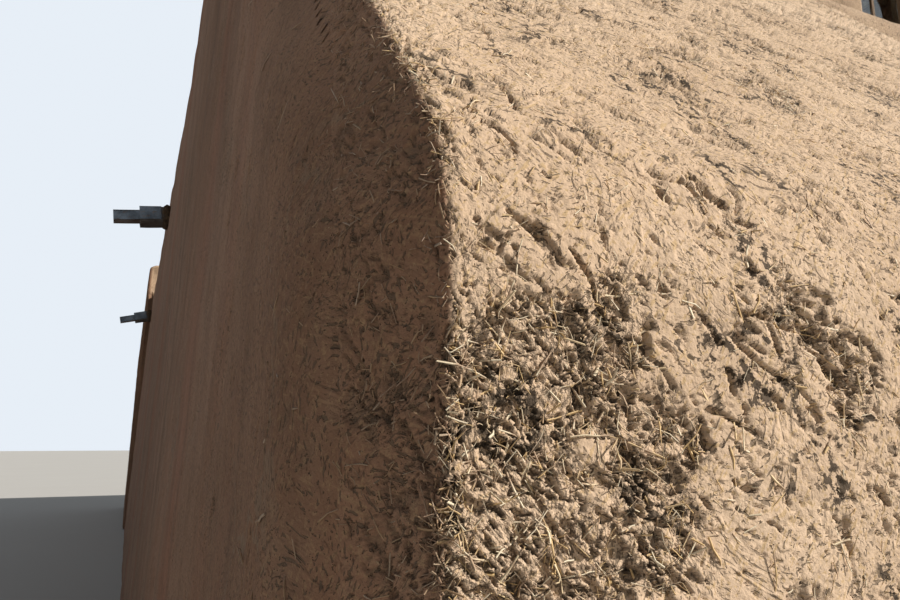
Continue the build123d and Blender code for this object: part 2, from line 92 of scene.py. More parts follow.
@dataclass(frozen=True)
class PhotoView:
    """Where the photograph was taken from, and how the lens looked.

    Attributes:
        eye: place of the lens, beside the buttress's corner at a standing person's height.
        turn: how far the view is turned to the right of +Y, in degrees.
        tilt: how far it looks up, in degrees.
        focal: focal length in photograph pixels.
    """

    eye: Triple
    turn: float = 23.41
    tilt: float = 10.9
    focal: float = 728.0

    def axes(self) -> tuple[Array, Array, Array]:
        """Right, up and forward directions of the view.

        Returns:
            Three unit vectors.
        """
        turn, tilt = math.radians(self.turn), math.radians(self.tilt)
        flat = np.array([math.sin(turn), math.cos(turn), 0.0])
        right = np.array([math.cos(turn), -math.sin(turn), 0.0])
        forward = flat * math.cos(tilt) + np.array([0, 0, math.sin(tilt)])
        return right, np.cross(right, forward), forward

    def rays(self, across: Array, down: Array) -> Array:
        """Unit directions through photograph pixels.

        Args:
            across: pixel columns.
            down: pixel rows.

        Returns:
            One direction for each pair.
        """
        right, up, forward = self.axes()
        ray = (
            forward
            + (across[..., None] - PHOTO_WIDTH / 2) / self.focal * right
            + (PHOTO_HEIGHT / 2 - down[..., None]) / self.focal * up
        )
        return ray / np.linalg.norm(ray, axis=-1, keepdims=True)

    def seen(self, points: Array, left: float = 310.0, spare: float = 30.0) -> Array:
        """How surely points show in the photograph, right of a column.

        Args:
            points: places in metres.
            left: the first column.
            spare: how far past the photograph's other edges points still count, in pixels.

        Returns:
            Share from 0 to 1.
        """
        right, up, forward = self.axes()
        away = points - np.array(self.eye)
        depth = np.maximum(away @ forward, 0.05)
        across = PHOTO_WIDTH / 2 + self.focal * (away @ right) / depth
        down = PHOTO_HEIGHT / 2 - self.focal * (away @ up) / depth
        ends = [across - left, PHOTO_WIDTH + spare - across, down + spare, PHOTO_HEIGHT + spare - down]
        return ramp(np.minimum.reduce(ends), 0, spare) * (away @ forward > 0.1)

    def place(self) -> None:
        """Adds the camera and makes it the scene's own."""
        camera = bpy.data.cameras.new("photo_camera")
        camera.sensor_width = 36.0
        camera.lens = self.focal / PHOTO_WIDTH * camera.sensor_width
        camera.clip_start = 0.02
        camera.clip_end = 300.0
        holder = bpy.data.objects.new("photo_camera", camera)
        right, up, forward = (Vector(axis) for axis in self.axes())
        turned = Matrix((right, up, -forward)).transposed().to_4x4()
        holder.matrix_world = Matrix.Translation(self.eye) @ turned
        bpy.context.collection.objects.link(holder)
        bpy.context.scene.camera = holder


# Relief of the earth surfaces


class Noise:
    """Smooth random values in space, the same on each run."""

    TABLE = 512

    def __init__(self, seed: int) -> None:
        """Draws the lattice's values.

        Args:
            seed: picks the pattern.
        """
        draw = np.random.default_rng(seed)
        self.order = draw.permutation(self.TABLE)
        slopes = draw.normal(size=(self.TABLE, 3))
        self.slopes = (slopes / np.linalg.norm(slopes, axis=1, keepdims=True)).astype(np.float32)
        self.points = draw.random((self.TABLE, 3)).astype(np.float32)

    def _index(self, cell: Array) -> Array:
        """Table index of lattice cells."""
        index = 0
        for axis in range(3):
            index = self.order[(index + cell[:, axis]) & (self.TABLE - 1)]
        return index

    def smooth(self, points: Array) -> Array:
        """Gradient noise.

        Args:
            points: places, in lattice cells.

        Returns:
            Values between about -0.8 and 0.8.
        """
        cell = np.floor(points).astype(np.int64)
        inside = (points - cell).astype(np.float32)
        fade = inside * inside * inside * (inside * (inside * 6 - 15) + 10)
        total = np.zeros(len(points), np.float32)
        for step in range(8):
            offset = np.array([step & 1, step >> 1 & 1, step >> 2 & 1])
            slope = self.slopes[self._index(cell + offset)]
            weight = np.prod(np.where(offset == 1, fade, 1 - fade), axis=1)
            total += weight * np.einsum("ij,ij->i", slope, inside - offset.astype(np.float32))
        return total

    def layered(self, points: Array, size: float, layers: int, gain: float = 0.5) -> Array:
        """Noise of several sizes added up.

        Args:
            points: places in metres.
            size: size of the largest bumps in metres.
            layers: how many sizes, each half the one before.
            gain: strength of each layer against the one before.

        Returns:
            Values between about -1 and 1.
        """
        total = np.zeros(len(points), np.float32)
        strength, scale = 1.0, 1.0 / size
        for layer in range(layers):
            total += strength * self.smooth(points * scale + 17.3 * layer)
            strength *= gain
            scale *= 2.03
        return total

    def cells(self, points: Array) -> tuple[Array, Array]:
        """Distances to the nearest and second nearest random point.

        Args:
            points: places, in lattice cells.

        Returns:
            Both distances.
        """
        cell = np.floor(points).astype(np.int64)
        first = np.full(len(points), 9.0, np.float32)
        second = first.copy()
        for step in range(27):
            offset = np.array([step % 3, step // 3 % 3, step // 9]) - 1
            near = cell + offset
            away = near + self.points[self._index(near)] - points
            gap = np.linalg.norm(away, axis=1).astype(np.float32)
            second = np.minimum(second, np.maximum(first, gap))
            first = np.minimum(first, gap)
        return first, second


def ramp(values: Array, low: float, high: float) -> Array:
    """Smooth step from 0 at low to 1 at high."""
    share = np.clip((values - low) / (high - low), 0, 1)
    return share * share * (3 - 2 * share)


def soften(first: Array, second: Array, radius: float, cosine: float = 0.0) -> Array:
    """Larger of two distances, with the edge between their planes rounded to a radius.

    Args:
        first: distance outside one plane.
        second: distance outside the other.
        radius: radius of the rounding.
        cosine: cosine of the angle between the planes' outward directions.

    Returns:
        Distance outside the rounded edge.
    """
    u, v = first + radius, second + radius
    inside = (u > v * cosine) & (v > u * cosine)
    reach = np.sqrt(np.maximum(u * u + v * v - 2 * u * v * cosine, 0)) / math.sqrt(1 - cosine * cosine)
    return np.where(inside, reach, np.maximum(u, v)) - radius


@dataclass(frozen=True)
class HouseForm:
    """Smooth outline of the long block's left front: the leaning wall, its parapet and the buttress.

    Attributes:
        batter: how far a face leans in for each metre of height.
        shoulder: height where the buttress's upright front turns into its slope.
        slope: steepness of that slope in degrees.
        arris: roundness of the buttress's long edges.
        crease_turn: how far the worn left edge first turns away from the front, in degrees.
        crease_in: how far inside the left face it starts to turn.
        crease_round: roundness of that first turn.
        shoulder_round: roundness of its shoulder.
        parapet: height of the side parapet.
        parapet_thick: thickness of the parapet.
        parapet_round: roundness of its top.
        crest_round: roundness where the slope meets the top of the front parapet.
        left: the buttress's left side at the ground, and the long wall's.
        right: the buttress's right side at the ground.
        foot: the buttress's front at the ground.
        front: the long block's front at the ground.
        crest: height of the buttress's top.
    """

    batter: float = 1 / 23
    shoulder: float = 1.81
    slope: float = 48.0
    arris: float = 0.16
    crease_turn: float = 59.0
    crease_in: float = 0.090
    crease_round: float = 0.032
    shoulder_round: float = 0.30
    parapet: float = 4.40
    parapet_thick: float = 0.359
    parapet_round: float = 0.09
    crest_round: float = 0.12
    left: float = field(default_factory=lambda: corner("corner_buttress").x)
    right: float = field(default_factory=lambda: corner("corner_buttress", True).x)
    foot: float = field(default_factory=lambda: corner("corner_buttress").y)
    front: float = field(default_factory=lambda: corner("left_wall").y)
    crest: float = field(default_factory=lambda: corner("corner_buttress", True).z)

    @property
    def lean(self) -> float:
        """Length along a battered face for each metre of height."""
        return math.hypot(1, self.batter)

    @property
    def shoulder_y(self) -> float:
        """Place of the buttress's front at its shoulder."""
        return self.foot + self.shoulder * self.batter

    def side(self, points: Array) -> Array:
        """Distance outside the long left face."""
        return (self.left + points[:, 2] * self.batter - points[:, 0]) / self.lean

    def slope_face(self, points: Array) -> Array:
        """Distance above the buttress's slope."""
        angle = math.radians(self.slope)
        above, behind = points[:, 2] - self.shoulder, points[:, 1] - self.shoulder_y
        return above * math.cos(angle) - behind * math.sin(angle)

    def buttress(self, points: Array) -> Array:
        """Distance outside the buttress.

        Args:
            points: places in metres.

        Returns:
            The distances, negative inside.
        """
        angle = math.radians(self.slope)
        upright = (self.foot + points[:, 2] * self.batter - points[:, 1]) / self.lean
        right = (points[:, 0] - self.right + points[:, 2] * self.batter) / self.lean
        meeting = math.cos(math.pi / 2 - angle - math.atan(self.batter))
        face = soften(upright, self.slope_face(points), self.shoulder_round, meeting)
        face = soften(face, points[:, 2] - self.crest, self.crest_round, math.cos(angle))
        side = self.side(points)
        turn = math.radians(self.crease_turn)
        eased = math.sin(turn) * (side + self.crease_in) + math.cos(turn) * face
        creased = soften(face, eased, self.crease_round, math.cos(turn))
        left_edge = soften(creased, side, self.arris * 1.5, math.sin(turn))
        return soften(left_edge, right, self.arris)

    def wall(self, points: Array) -> Array:
        """Distance outside the long block's left wall and its parapet."""
        front = (self.front + points[:, 2] * self.batter - points[:, 1]) / self.lean
        top = points[:, 2] - self.parapet
        corner_edge = soften(front, self.side(points), self.arris)
        return soften(corner_edge, top, self.parapet_round)

    def distance(self, points: Array) -> Array:
        """Distance outside the whole left front."""
        return np.minimum(self.buttress(points), self.wall(points))

    def normals(self, points: Array, reach: float = 0.004) -> Array:
        """Outward directions of the smooth surface near points.

        Args:
            points: places near the surface.
            reach: how far apart the distances are taken.

        Returns:
            Unit vectors.
        """
        parts = []
        for axis in range(3):
            step = np.zeros(3)
            step[axis] = reach
            parts.append(self.distance(points + step) - self.distance(points - step))
        normal = np.stack(parts, axis=1)
        return normal / np.maximum(np.linalg.norm(normal, axis=1, keepdims=True), 1e-9)

    def settle(self, points: Array, rounds: int = 4) -> Array:
        """Moves points on to the smooth surface along its normals."""
        for _ in range(rounds):
            points = points - self.distance(points)[:, None] * self.normals(points)
        return points

    def meet(self, eye: Array, rays: Array, rounds: int = 90) -> tuple[Array, Array]:
        """Follows rays from the eye to the surface.

        Args:
            eye: start of the rays.
            rays: unit directions.
            rounds: how many steps each ray takes.

        Returns:
            The points, and which of them lie on the surface.
        """
        travelled = np.full(len(rays), 0.05)
        for _ in range(rounds):
            gap = self.distance(eye + rays * travelled[:, None])
            travelled = np.minimum(travelled + np.maximum(gap, -0.05) * 0.93, 30.0)
        points = eye + rays * travelled[:, None]
        return points, np.abs(self.distance(points)) < 0.004


class MudRelief:
    """The hand-spread, torn and straw-filled surface of the mud plaster.

    Attributes:
        CLEFT_RUN: way that torn clefts run.
        CHIP_RUN: way that small chips run.
        SMEAR: draws a pattern out along the hand's strokes.
        WORN: places worn down to the straw, with their reach and strength.
    """

    CLEFT_RUN = np.array([0.55, -0.30, -0.78])
    CHIP_RUN = np.array([0.82, -0.22, -0.50])
    SMEAR = np.array([[1.0, 0.0, 0.55], [0.0, 1.0, 0.0], [-0.55, 0.0, 0.75]])
    WORN = (
        ((-3.50, -8.173, 1.645), 0.12, 0.45),
        ((-3.42, -8.173, 1.600), 0.09, 0.36),
        ((-3.20, -8.170, 1.680), 0.10, 0.38),
        ((-3.57, -8.170, 1.540), 0.11, 0.36),
        ((-3.28, -8.175, 1.500), 0.10, 0.26),
        ((-3.56, -8.160, 1.740), 0.06, 0.22),
    )

    def __init__(self) -> None:
        """Draws the noises that the relief is made of."""
        self.form = Noise(11)
        self.patch = Noise(23)
        self.crack = Noise(37)
        self.grain = Noise(41)
        self.pit = Noise(53)

    def broad(self, points: Array) -> Array:
        """Hand-made unevenness of whole walls, in metres outwards."""
        swell = self.form.layered(points * [1, 1, 0.8], 2.1, 2) * 0.022
        hands = self.form.layered(points + 40, 0.42, 2) * 0.0075
        return swell + hands - 0.012

    def roughness(self, points: Array) -> Array:
        """How far the plaster is weathered down to its straw.

        Args:
            points: places in metres.

        Returns:
            Share from 0 to 1.
        """
        patches = self.patch.layered(points + 60.5, 0.23, 5, 0.66)
        low = ramp(points[:, 2], 1.9, 0.9) * 0.12
        worn = np.zeros(len(points))
        for centre, reach, strength in self.WORN:
            gap = np.linalg.norm(points - np.array(centre), axis=1) / reach
            worn = np.maximum(worn, strength * ramp(gap, 1.0, 0.25))
        return ramp(patches + low + worn, 0.20, 0.46)

    def clefts(
        self, points: Array, size: float, longer: float, shift: float, flat: bool = False
    ) -> Array:
        """Short torn clefts that run down to the right.

        Args:
            points: places in metres.
            size: rough width of a cleft and its surroundings.
            longer: how many times longer than wide a cleft is.
            shift: picks the pattern.
            flat: whether they run more across than down.

        Returns:
            Noise value, high in the middle of a cleft.
        """
        way = self.CHIP_RUN if flat else self.CLEFT_RUN
        run = way / np.linalg.norm(way)
        shifted = [(points + shift + axis * 9) / (size * 5) for axis in range(3)]
        bend = np.stack([self.crack.smooth(place) for place in shifted], axis=1)
        bent = points + bend * size * 2.2
        drawn = bent - (1 - 1 / longer) * (bent @ run)[:, None] * run
        return self.crack.layered(drawn + shift, size, 3, 0.55)

    def fine(
        self, points: Array, worn: Array | float = 0.0, detail: Array | float = 1.0
    ) -> tuple[Array, Array, Array]:
        """Clefts, gouges, crumbs and grain.

        Args:
            points: places in metres.
            worn: extra wear, from 0 to 1, as along the buttress's edge.
            detail: 1 where the mesh is fine enough for crumbs, 0 where only hollows fit.

        Returns:
            Height in metres outwards, how bare the straw lies there, and how much painted shade darkens its
            clefts, chips and the spaces between crumbs.
        """
        torn = worn * ramp(self.patch.layered(points + 3, 0.07, 3), -0.35, 0.25)
        rough = np.maximum(self.roughness(points), torn)
        region = ramp(self.patch.layered(points + 31, 0.42, 3), -0.22, 0.30)
        wide = ramp(self.clefts(points, 0.022, 4.2, 3.0) + 0.12 * rough + 0.08 * region, 0.50, 0.58)
        thin = ramp(self.clefts(points, 0.0095, 4.0, 8.0) + 0.15 * rough + 0.08 * region, 0.42, 0.50)
        thin *= (0.5 + 0.5 * rough) * detail
        chips = ramp(self.clefts(points, 0.0048, 4.5, 14.0, True) + 0.16 * rough + 0.06 * region, 0.38, 0.46)
        chips *= (0.45 + 0.55 * rough) * detail
        torn_line = 1 - ramp(np.abs(self.clefts(points, 0.060, 2.2, 21.0)), 0.030, 0.080)
        line = torn_line * ramp(self.patch.layered(points + 77, 0.10, 3) + 0.15 * rough, 0.02, 0.20)
        line *= (0.6 + 0.4 * chips) * (0.35 + 0.65 * detail)
        first, second = self.pit.cells(points / 0.0042)
        large, _ = self.pit.cells(points / 0.0100 + 4)
        tiny, _ = self.pit.cells(points @ self.SMEAR / 0.0030)
        crumbs = ((0.62 - first) * 0.0014 + (0.6 - large) * 0.0008 + (0.6 - tiny) * 0.0018) * detail
        flakes = ramp(self.pit.layered(points + 8, 0.016, 3, 0.6), 0.20, 0.32)
        smear = self.grain.layered(points @ self.SMEAR, 0.030, 2) * 0.0009
        lumps = self.grain.layered(points + 2, 0.085, 2) * 0.0028
        grain = self.grain.layered(points + 6, 0.0042, 2) * 0.0007
        height = (
            0.0045
            + lumps
            + smear
            + grain * (1 + rough) * detail
            - 0.0035 * rough
            + crumbs * rough
            - 0.0030 * flakes * (0.30 + 0.70 * rough)
            - 0.0075 * wide
            - 0.0090 * line
            - 0.0072 * thin
            - 0.0046 * chips
        )
        bare = np.clip(0.55 * rough + 0.2 * flakes + 0.4 * wide + 0.3 * thin + 0.35 * line, 0, 1)
        # Painted shade: the low places between crumbs, and the clefts, torn lines and chips, are darkened to
        # stand for the shadow that falls in them.
        between = rough * ramp(-crumbs, -0.0004, 0.0020) * detail
        deep = np.clip(0.6 * wide + 0.8 * line + 0.75 * thin + 0.8 * chips + 0.6 * between, 0, 1)
        return height, bare, deep


RELIEF = MudRelief()


def linked(name: str, mesh: bpy.types.Mesh, smooth: bool | None = None) -> bpy.types.Object:
    """Makes an object of a mesh and links it to the scene.

    Args:
        name: the object's name.
        mesh: its mesh.
        smooth: whether its faces are shaded smooth; None leaves them as they are.

    Returns:
        The object.
    """
    if smooth is not None:
        mesh.polygons.foreach_set("use_smooth", np.full(len(mesh.polygons), smooth))
    piece = bpy.data.objects.new(name, mesh)
    bpy.context.collection.objects.link(piece)
    return piece


def ended(made: bmesh.types.BMesh, name: str, smooth: bool | None = None) -> bpy.types.Object:
    """Ends a mesh in the making as a linked object.

    Args:
        made: the mesh in the making.
        name: the object's name.
        smooth: whether its faces are shaded smooth; None leaves them as they are.

    Returns:
        The object.
    """
    mesh = bpy.data.meshes.new(name)
    made.to_mesh(mesh)
    made.free()
    return linked(name, mesh, smooth)


def merged(*nodes: str) -> bmesh.types.BMesh:
    """Copies CAD nodes, whose own meshes are loose triangles, with their doubles merged.

    Args:
        *nodes: the CAD nodes.

    Returns:
        One mesh in the making.
    """
    made = bmesh.new()
    for node in nodes:
        made.from_mesh(frame["nodes"][node].data)
    bmesh.ops.remove_doubles(made, verts=made.verts, dist=1e-5)
    return made


def plain_mesh(piece: bpy.types.Object, keep_values: bool = False) -> bpy.types.Mesh:
    """Takes the mesh of a piece with its modifiers applied, and removes the piece.

    Args:
        piece: the piece.
        keep_values: whether the mesh's named values are kept.

    Returns:
        The plain mesh.
    """
    shown = bpy.context.evaluated_depsgraph_get()
    mesh = bpy.data.meshes.new_from_object(
        piece.evaluated_get(shown), preserve_all_data_layers=keep_values, depsgraph=shown
    )
    bpy.data.objects.remove(piece)
    return mesh


def voxel_body(nodes: Sequence[str], voxel: float, rounds: int = 0) -> bpy.types.Mesh:
    """Joins copies of CAD nodes and remeshes them as one body of even squares.

    Args:
        nodes: the CAD nodes.
        voxel: size of the squares.
        rounds: how often the body is smoothed.

    Returns:
        The body's mesh.
    """
    piece = ended(merged(*nodes), "body_in_making")
    remesh = piece.modifiers.new("remesh", "REMESH")
    remesh.mode = "VOXEL"
    remesh.voxel_size = voxel
    if rounds:
        smooth = piece.modifiers.new("smooth", "SMOOTH")
        smooth.factor = 0.5
        smooth.iterations = rounds
    return plain_mesh(piece)


def vertex_rows(mesh: bpy.types.Mesh, key: str = "co") -> Array:
    """Places of a mesh's vertices, or their directions with key "normal", one row each."""
    values = np.empty(len(mesh.vertices) * 3, np.float32)
    mesh.vertices.foreach_get(key, values)
    return values.reshape(-1, 3)


def grid_faces(rows: int, columns: int, keep: Array | None = None) -> tuple[Array, Array]:
    """Quads of a grid of points in row order, and the points that they use.

    Args:
        rows: grid rows.
        columns: grid columns.
        keep: which points belong to the grid; all of them without it.

    Returns:
        The faces, numbered by the used points, and the used points' own numbers.
    """
    first = (np.arange(rows - 1)[:, None] * columns + np.arange(columns - 1)).ravel()
    faces = np.stack([first, first + 1, first + columns + 1, first + columns], axis=1)
    if keep is not None:
        faces = faces[keep[faces].all(axis=1)]
    used, index = np.unique(faces, return_inverse=True)
    return index.reshape(-1, 4), used


def mesh_object(name: str, points: Array, faces: Array) -> bpy.types.Object:
    """Makes a smooth-shaded object of points and quads or triangles.

    Args:
        name: the object's name.
        points: vertices.
        faces: one row of indices a face.

    Returns:
        The object, linked to the scene.
    """
    mesh = bpy.data.meshes.new(name)
    count, corners = faces.shape
    mesh.vertices.add(len(points))
    mesh.vertices.foreach_set("co", np.ascontiguousarray(points, np.float32).ravel())
    mesh.loops.add(count * corners)
    mesh.loops.foreach_set("vertex_index", faces.astype(np.int32).ravel())
    mesh.polygons.add(count)
    mesh.polygons.foreach_set("loop_start", np.arange(count, dtype=np.int32) * corners)
    mesh.polygons.foreach_set("use_smooth", np.ones(count, bool))
    mesh.update(calc_edges=True)
    mesh.validate()
    return linked(name, mesh)


def point_values(piece: bpy.types.Object, **values: Array) -> None:
    """Keeps named numbers for each vertex of a piece."""
    for name, numbers in values.items():
        attribute = piece.data.attributes.new(name, "FLOAT", "POINT")
        attribute.data.foreach_set("value", np.ascontiguousarray(numbers, np.float32))


def faces_outward(points: Array, faces: Array, normals: Array) -> Array:
    """Turns faces round where they look into the wall.

    Args:
        points: the mesh's points.
        faces: its faces.
        normals: outward directions of the smooth surface at the points.

    Returns:
        The faces, all looking outwards.
    """
    a, b, c = points[faces[:, 0]], points[faces[:, 1]], points[faces[:, 2]]
    inward = np.einsum("ij,ij->i", np.cross(b - a, c - a), normals[faces[:, 0]]) < 0
    faces = faces.copy()
    faces[inward] = faces[inward][:, ::-1]
    return faces


# Node trees


Socket = bpy.types.NodeSocket


class Tree:
    """Short calls for building a node tree."""

    def __init__(self, tree: bpy.types.NodeTree) -> None:
        """Keeps the tree that nodes are added to."""
        self.tree = tree

    def add(self, kind: str, **settings: object) -> bpy.types.Node:
        """Adds a node.

        Args:
            kind: the node's type name.
            **settings: properties of the node, and, by "in_NAME", values or sockets for its inputs.

        Returns:
            The node.
        """
        node = self.tree.nodes.new(kind)
        feeds = {}
        for key, value in settings.items():
            if key.startswith("in_"):
                feeds[key[3:]] = value
            else:
                setattr(node, key, value)
        for key, value in feeds.items():
            self.feed(node.inputs[int(key) if key.isdigit() else key.replace("_", " ")], value)
        return node

    def feed(self, socket: Socket, value: object) -> None:
        """Links a socket to an input, or sets the input's own value.

        Args:
            socket: the input.
            value: the socket that feeds it, or its value.
        """
        if isinstance(value, Socket):
            self.tree.links.new(value, socket)
        elif isinstance(value, tuple) and len(value) == 3 and socket.type == "RGBA":
            socket.default_value = (*value, 1.0)
        else:
            socket.default_value = value

    def math(self, operation: str, first: object, second: object) -> Socket:
        """Result of a sum on two numbers."""
        return self.add("ShaderNodeMath", operation=operation, in_0=first, in_1=second).outputs[0]

    def times(self, first: object, second: object) -> Socket:
        """Product of two numbers."""
        return self.math("MULTIPLY", first, second)

    def plus(self, first: object, second: object) -> Socket:
        """Sum of two numbers."""
        return self.math("ADD", first, second)

    def less(self, first: object, second: object) -> Socket:
        """First number without the second."""
        return self.math("SUBTRACT", first, second)

    def most(self, sockets: Sequence[Socket]) -> Socket:
        """Largest of several numbers."""
        top = sockets[0]
        for socket in sockets[1:]:
            top = self.math("MAXIMUM", top, socket)
        return top

    def noise(self, where: Socket, scale: float, detail: float = 4.0, rough: float = 0.55) -> Socket:
        """Noise value from 0 to 1 at a place."""
        node = self.add(
            "ShaderNodeTexNoise", in_Vector=where, in_Scale=scale, in_Detail=detail, in_Roughness=rough
        )
        return node.outputs["Fac"]

    def ramp(self, value: Socket, low: float, high: float) -> Socket:
        """Smooth step of a value from low to high."""
        node = self.add(
            "ShaderNodeMapRange", interpolation_type="SMOOTHSTEP", in_Value=value, in_1=low, in_2=high
        )
        return node.outputs[0]

    def mix(self, share: object, first: object, second: object) -> Socket:
        """Colour between two colours."""
        return self.add("ShaderNodeMix", data_type="RGBA", in_0=share, in_6=first, in_7=second).outputs[2]

    def tint(self, colour: Socket, mask: Socket, share: object, shade: object) -> Socket:
        """Colour changed towards a shade where a mask is high.

        Args:
            colour: the colour so far.
            mask: where the shade shows.
            share: how far it covers there.
            shade: the shade.

        Returns:
            The new colour.
        """
        return self.mix(self.times(mask, share), colour, shade)

    def scaled(self, place: Socket, scale: object) -> Socket:
        """Place multiplied by a number."""
        return self.add("ShaderNodeVectorMath", operation="SCALE", in_0=place, in_Scale=scale).outputs[0]

    def mapped(
        self, place: Socket, turn: Triple = (0, 0, 0), size: Triple = (1, 1, 1), kind: str = "POINT"
    ) -> Socket:
        """Place turned and stretched.

        Args:
            place: the place.
            turn: rotation in radians.
            size: stretch along each axis.
            kind: the Mapping node's way; "TEXTURE" turns and stretches the pattern itself.

        Returns:
            The new place.
        """
        node = self.add(
            "ShaderNodeMapping", vector_type=kind, in_Vector=place, in_Rotation=turn, in_Scale=size
        )
        return node.outputs[0]

    def pushed(self, place: Socket, scale: float, detail: float, reach: float) -> Socket:
        """Place moved to and fro by a noise.

        Args:
            place: the place.
            scale: scale of the noise.
            detail: detail of the noise.
            reach: how far it moves places.

        Returns:
            The new place.
        """
        bend = self.add("ShaderNodeTexNoise", in_Vector=place, in_Scale=scale, in_Detail=detail)
        colour = bend.outputs["Color"]
        node = self.add(
            "ShaderNodeVectorMath", operation="MULTIPLY_ADD", in_0=colour, in_1=(reach,) * 3, in_2=place
        )
        return node.outputs[0]

    def value(self, name: str) -> Socket:
        """Named number that the mesh keeps for each point."""
        return self.add("ShaderNodeAttribute", attribute_name=name).outputs["Fac"]

    def effect(self, group: bpy.types.NodeTree, place: Socket, **values: object) -> Mapping[str, Socket]:
        """Places a shared effect.

        Args:
            group: the effect's group.
            place: where the effect is read.
            **values: the group's other inputs.

        Returns:
            The effect's outputs.
        """
        node = self.add("ShaderNodeGroup", node_tree=group, in_Place=place)
        for title, value in values.items():
            self.feed(node.inputs[title], value)
        return node.outputs


class GroupTree(Tree):
    """A node group in the making, with its named inputs and outputs."""

    def __init__(self, name: str, kind: str, inputs: dict[str, str], outputs: dict[str, str]) -> None:
        """Starts the group.

        Args:
            name: the group's name.
            kind: its tree type.
            inputs: names of its inputs with their socket types.
            outputs: names of its outputs with their socket types.
        """
        super().__init__(bpy.data.node_groups.new(name, kind))
        face = self.tree.interface
        self.inputs: dict[str, str] = {}
        for title, held in inputs.items():
            socket = face.new_socket(title, in_out="INPUT", socket_type=f"NodeSocket{held}")
            self.inputs[title] = socket.identifier
        for title, held in outputs.items():
            face.new_socket(title, in_out="OUTPUT", socket_type=f"NodeSocket{held}")
        self.source = self.add("NodeGroupInput").outputs
        self.result = self.add("NodeGroupOutput").inputs


class MaterialTree(Tree):
    """A material in the making, with its Principled shader and its Object coordinates."""

    def __init__(self, name: str) -> None:
        """Starts the material.

        Args:
            name: the material's name.
        """
        self.material = bpy.data.materials.new(name)
        self.material.use_nodes = True
        super().__init__(self.material.node_tree)
        self.tree.nodes.clear()
        self.shader = self.add("ShaderNodeBsdfPrincipled")
        self.add("ShaderNodeOutputMaterial", in_Surface=self.shader.outputs[0])
        self.place = self.add("ShaderNodeTexCoord").outputs["Object"]

    def surface(self, **inputs: object) -> None:
        """Sets or feeds the shader's inputs, named with _ for each space."""
        for key, value in inputs.items():
            self.feed(self.shader.inputs[key.replace("_", " ")], value)

    def bump(self, height: Socket, distance: float) -> None:
        """Raises the surface's fine relief.

        Args:
            height: the relief.
            distance: metres for each unit of height.
        """
        node = self.add("ShaderNodeBump", in_Strength=1.0, in_Distance=distance, in_Height=height)
        self.surface(Normal=node.outputs["Normal"])


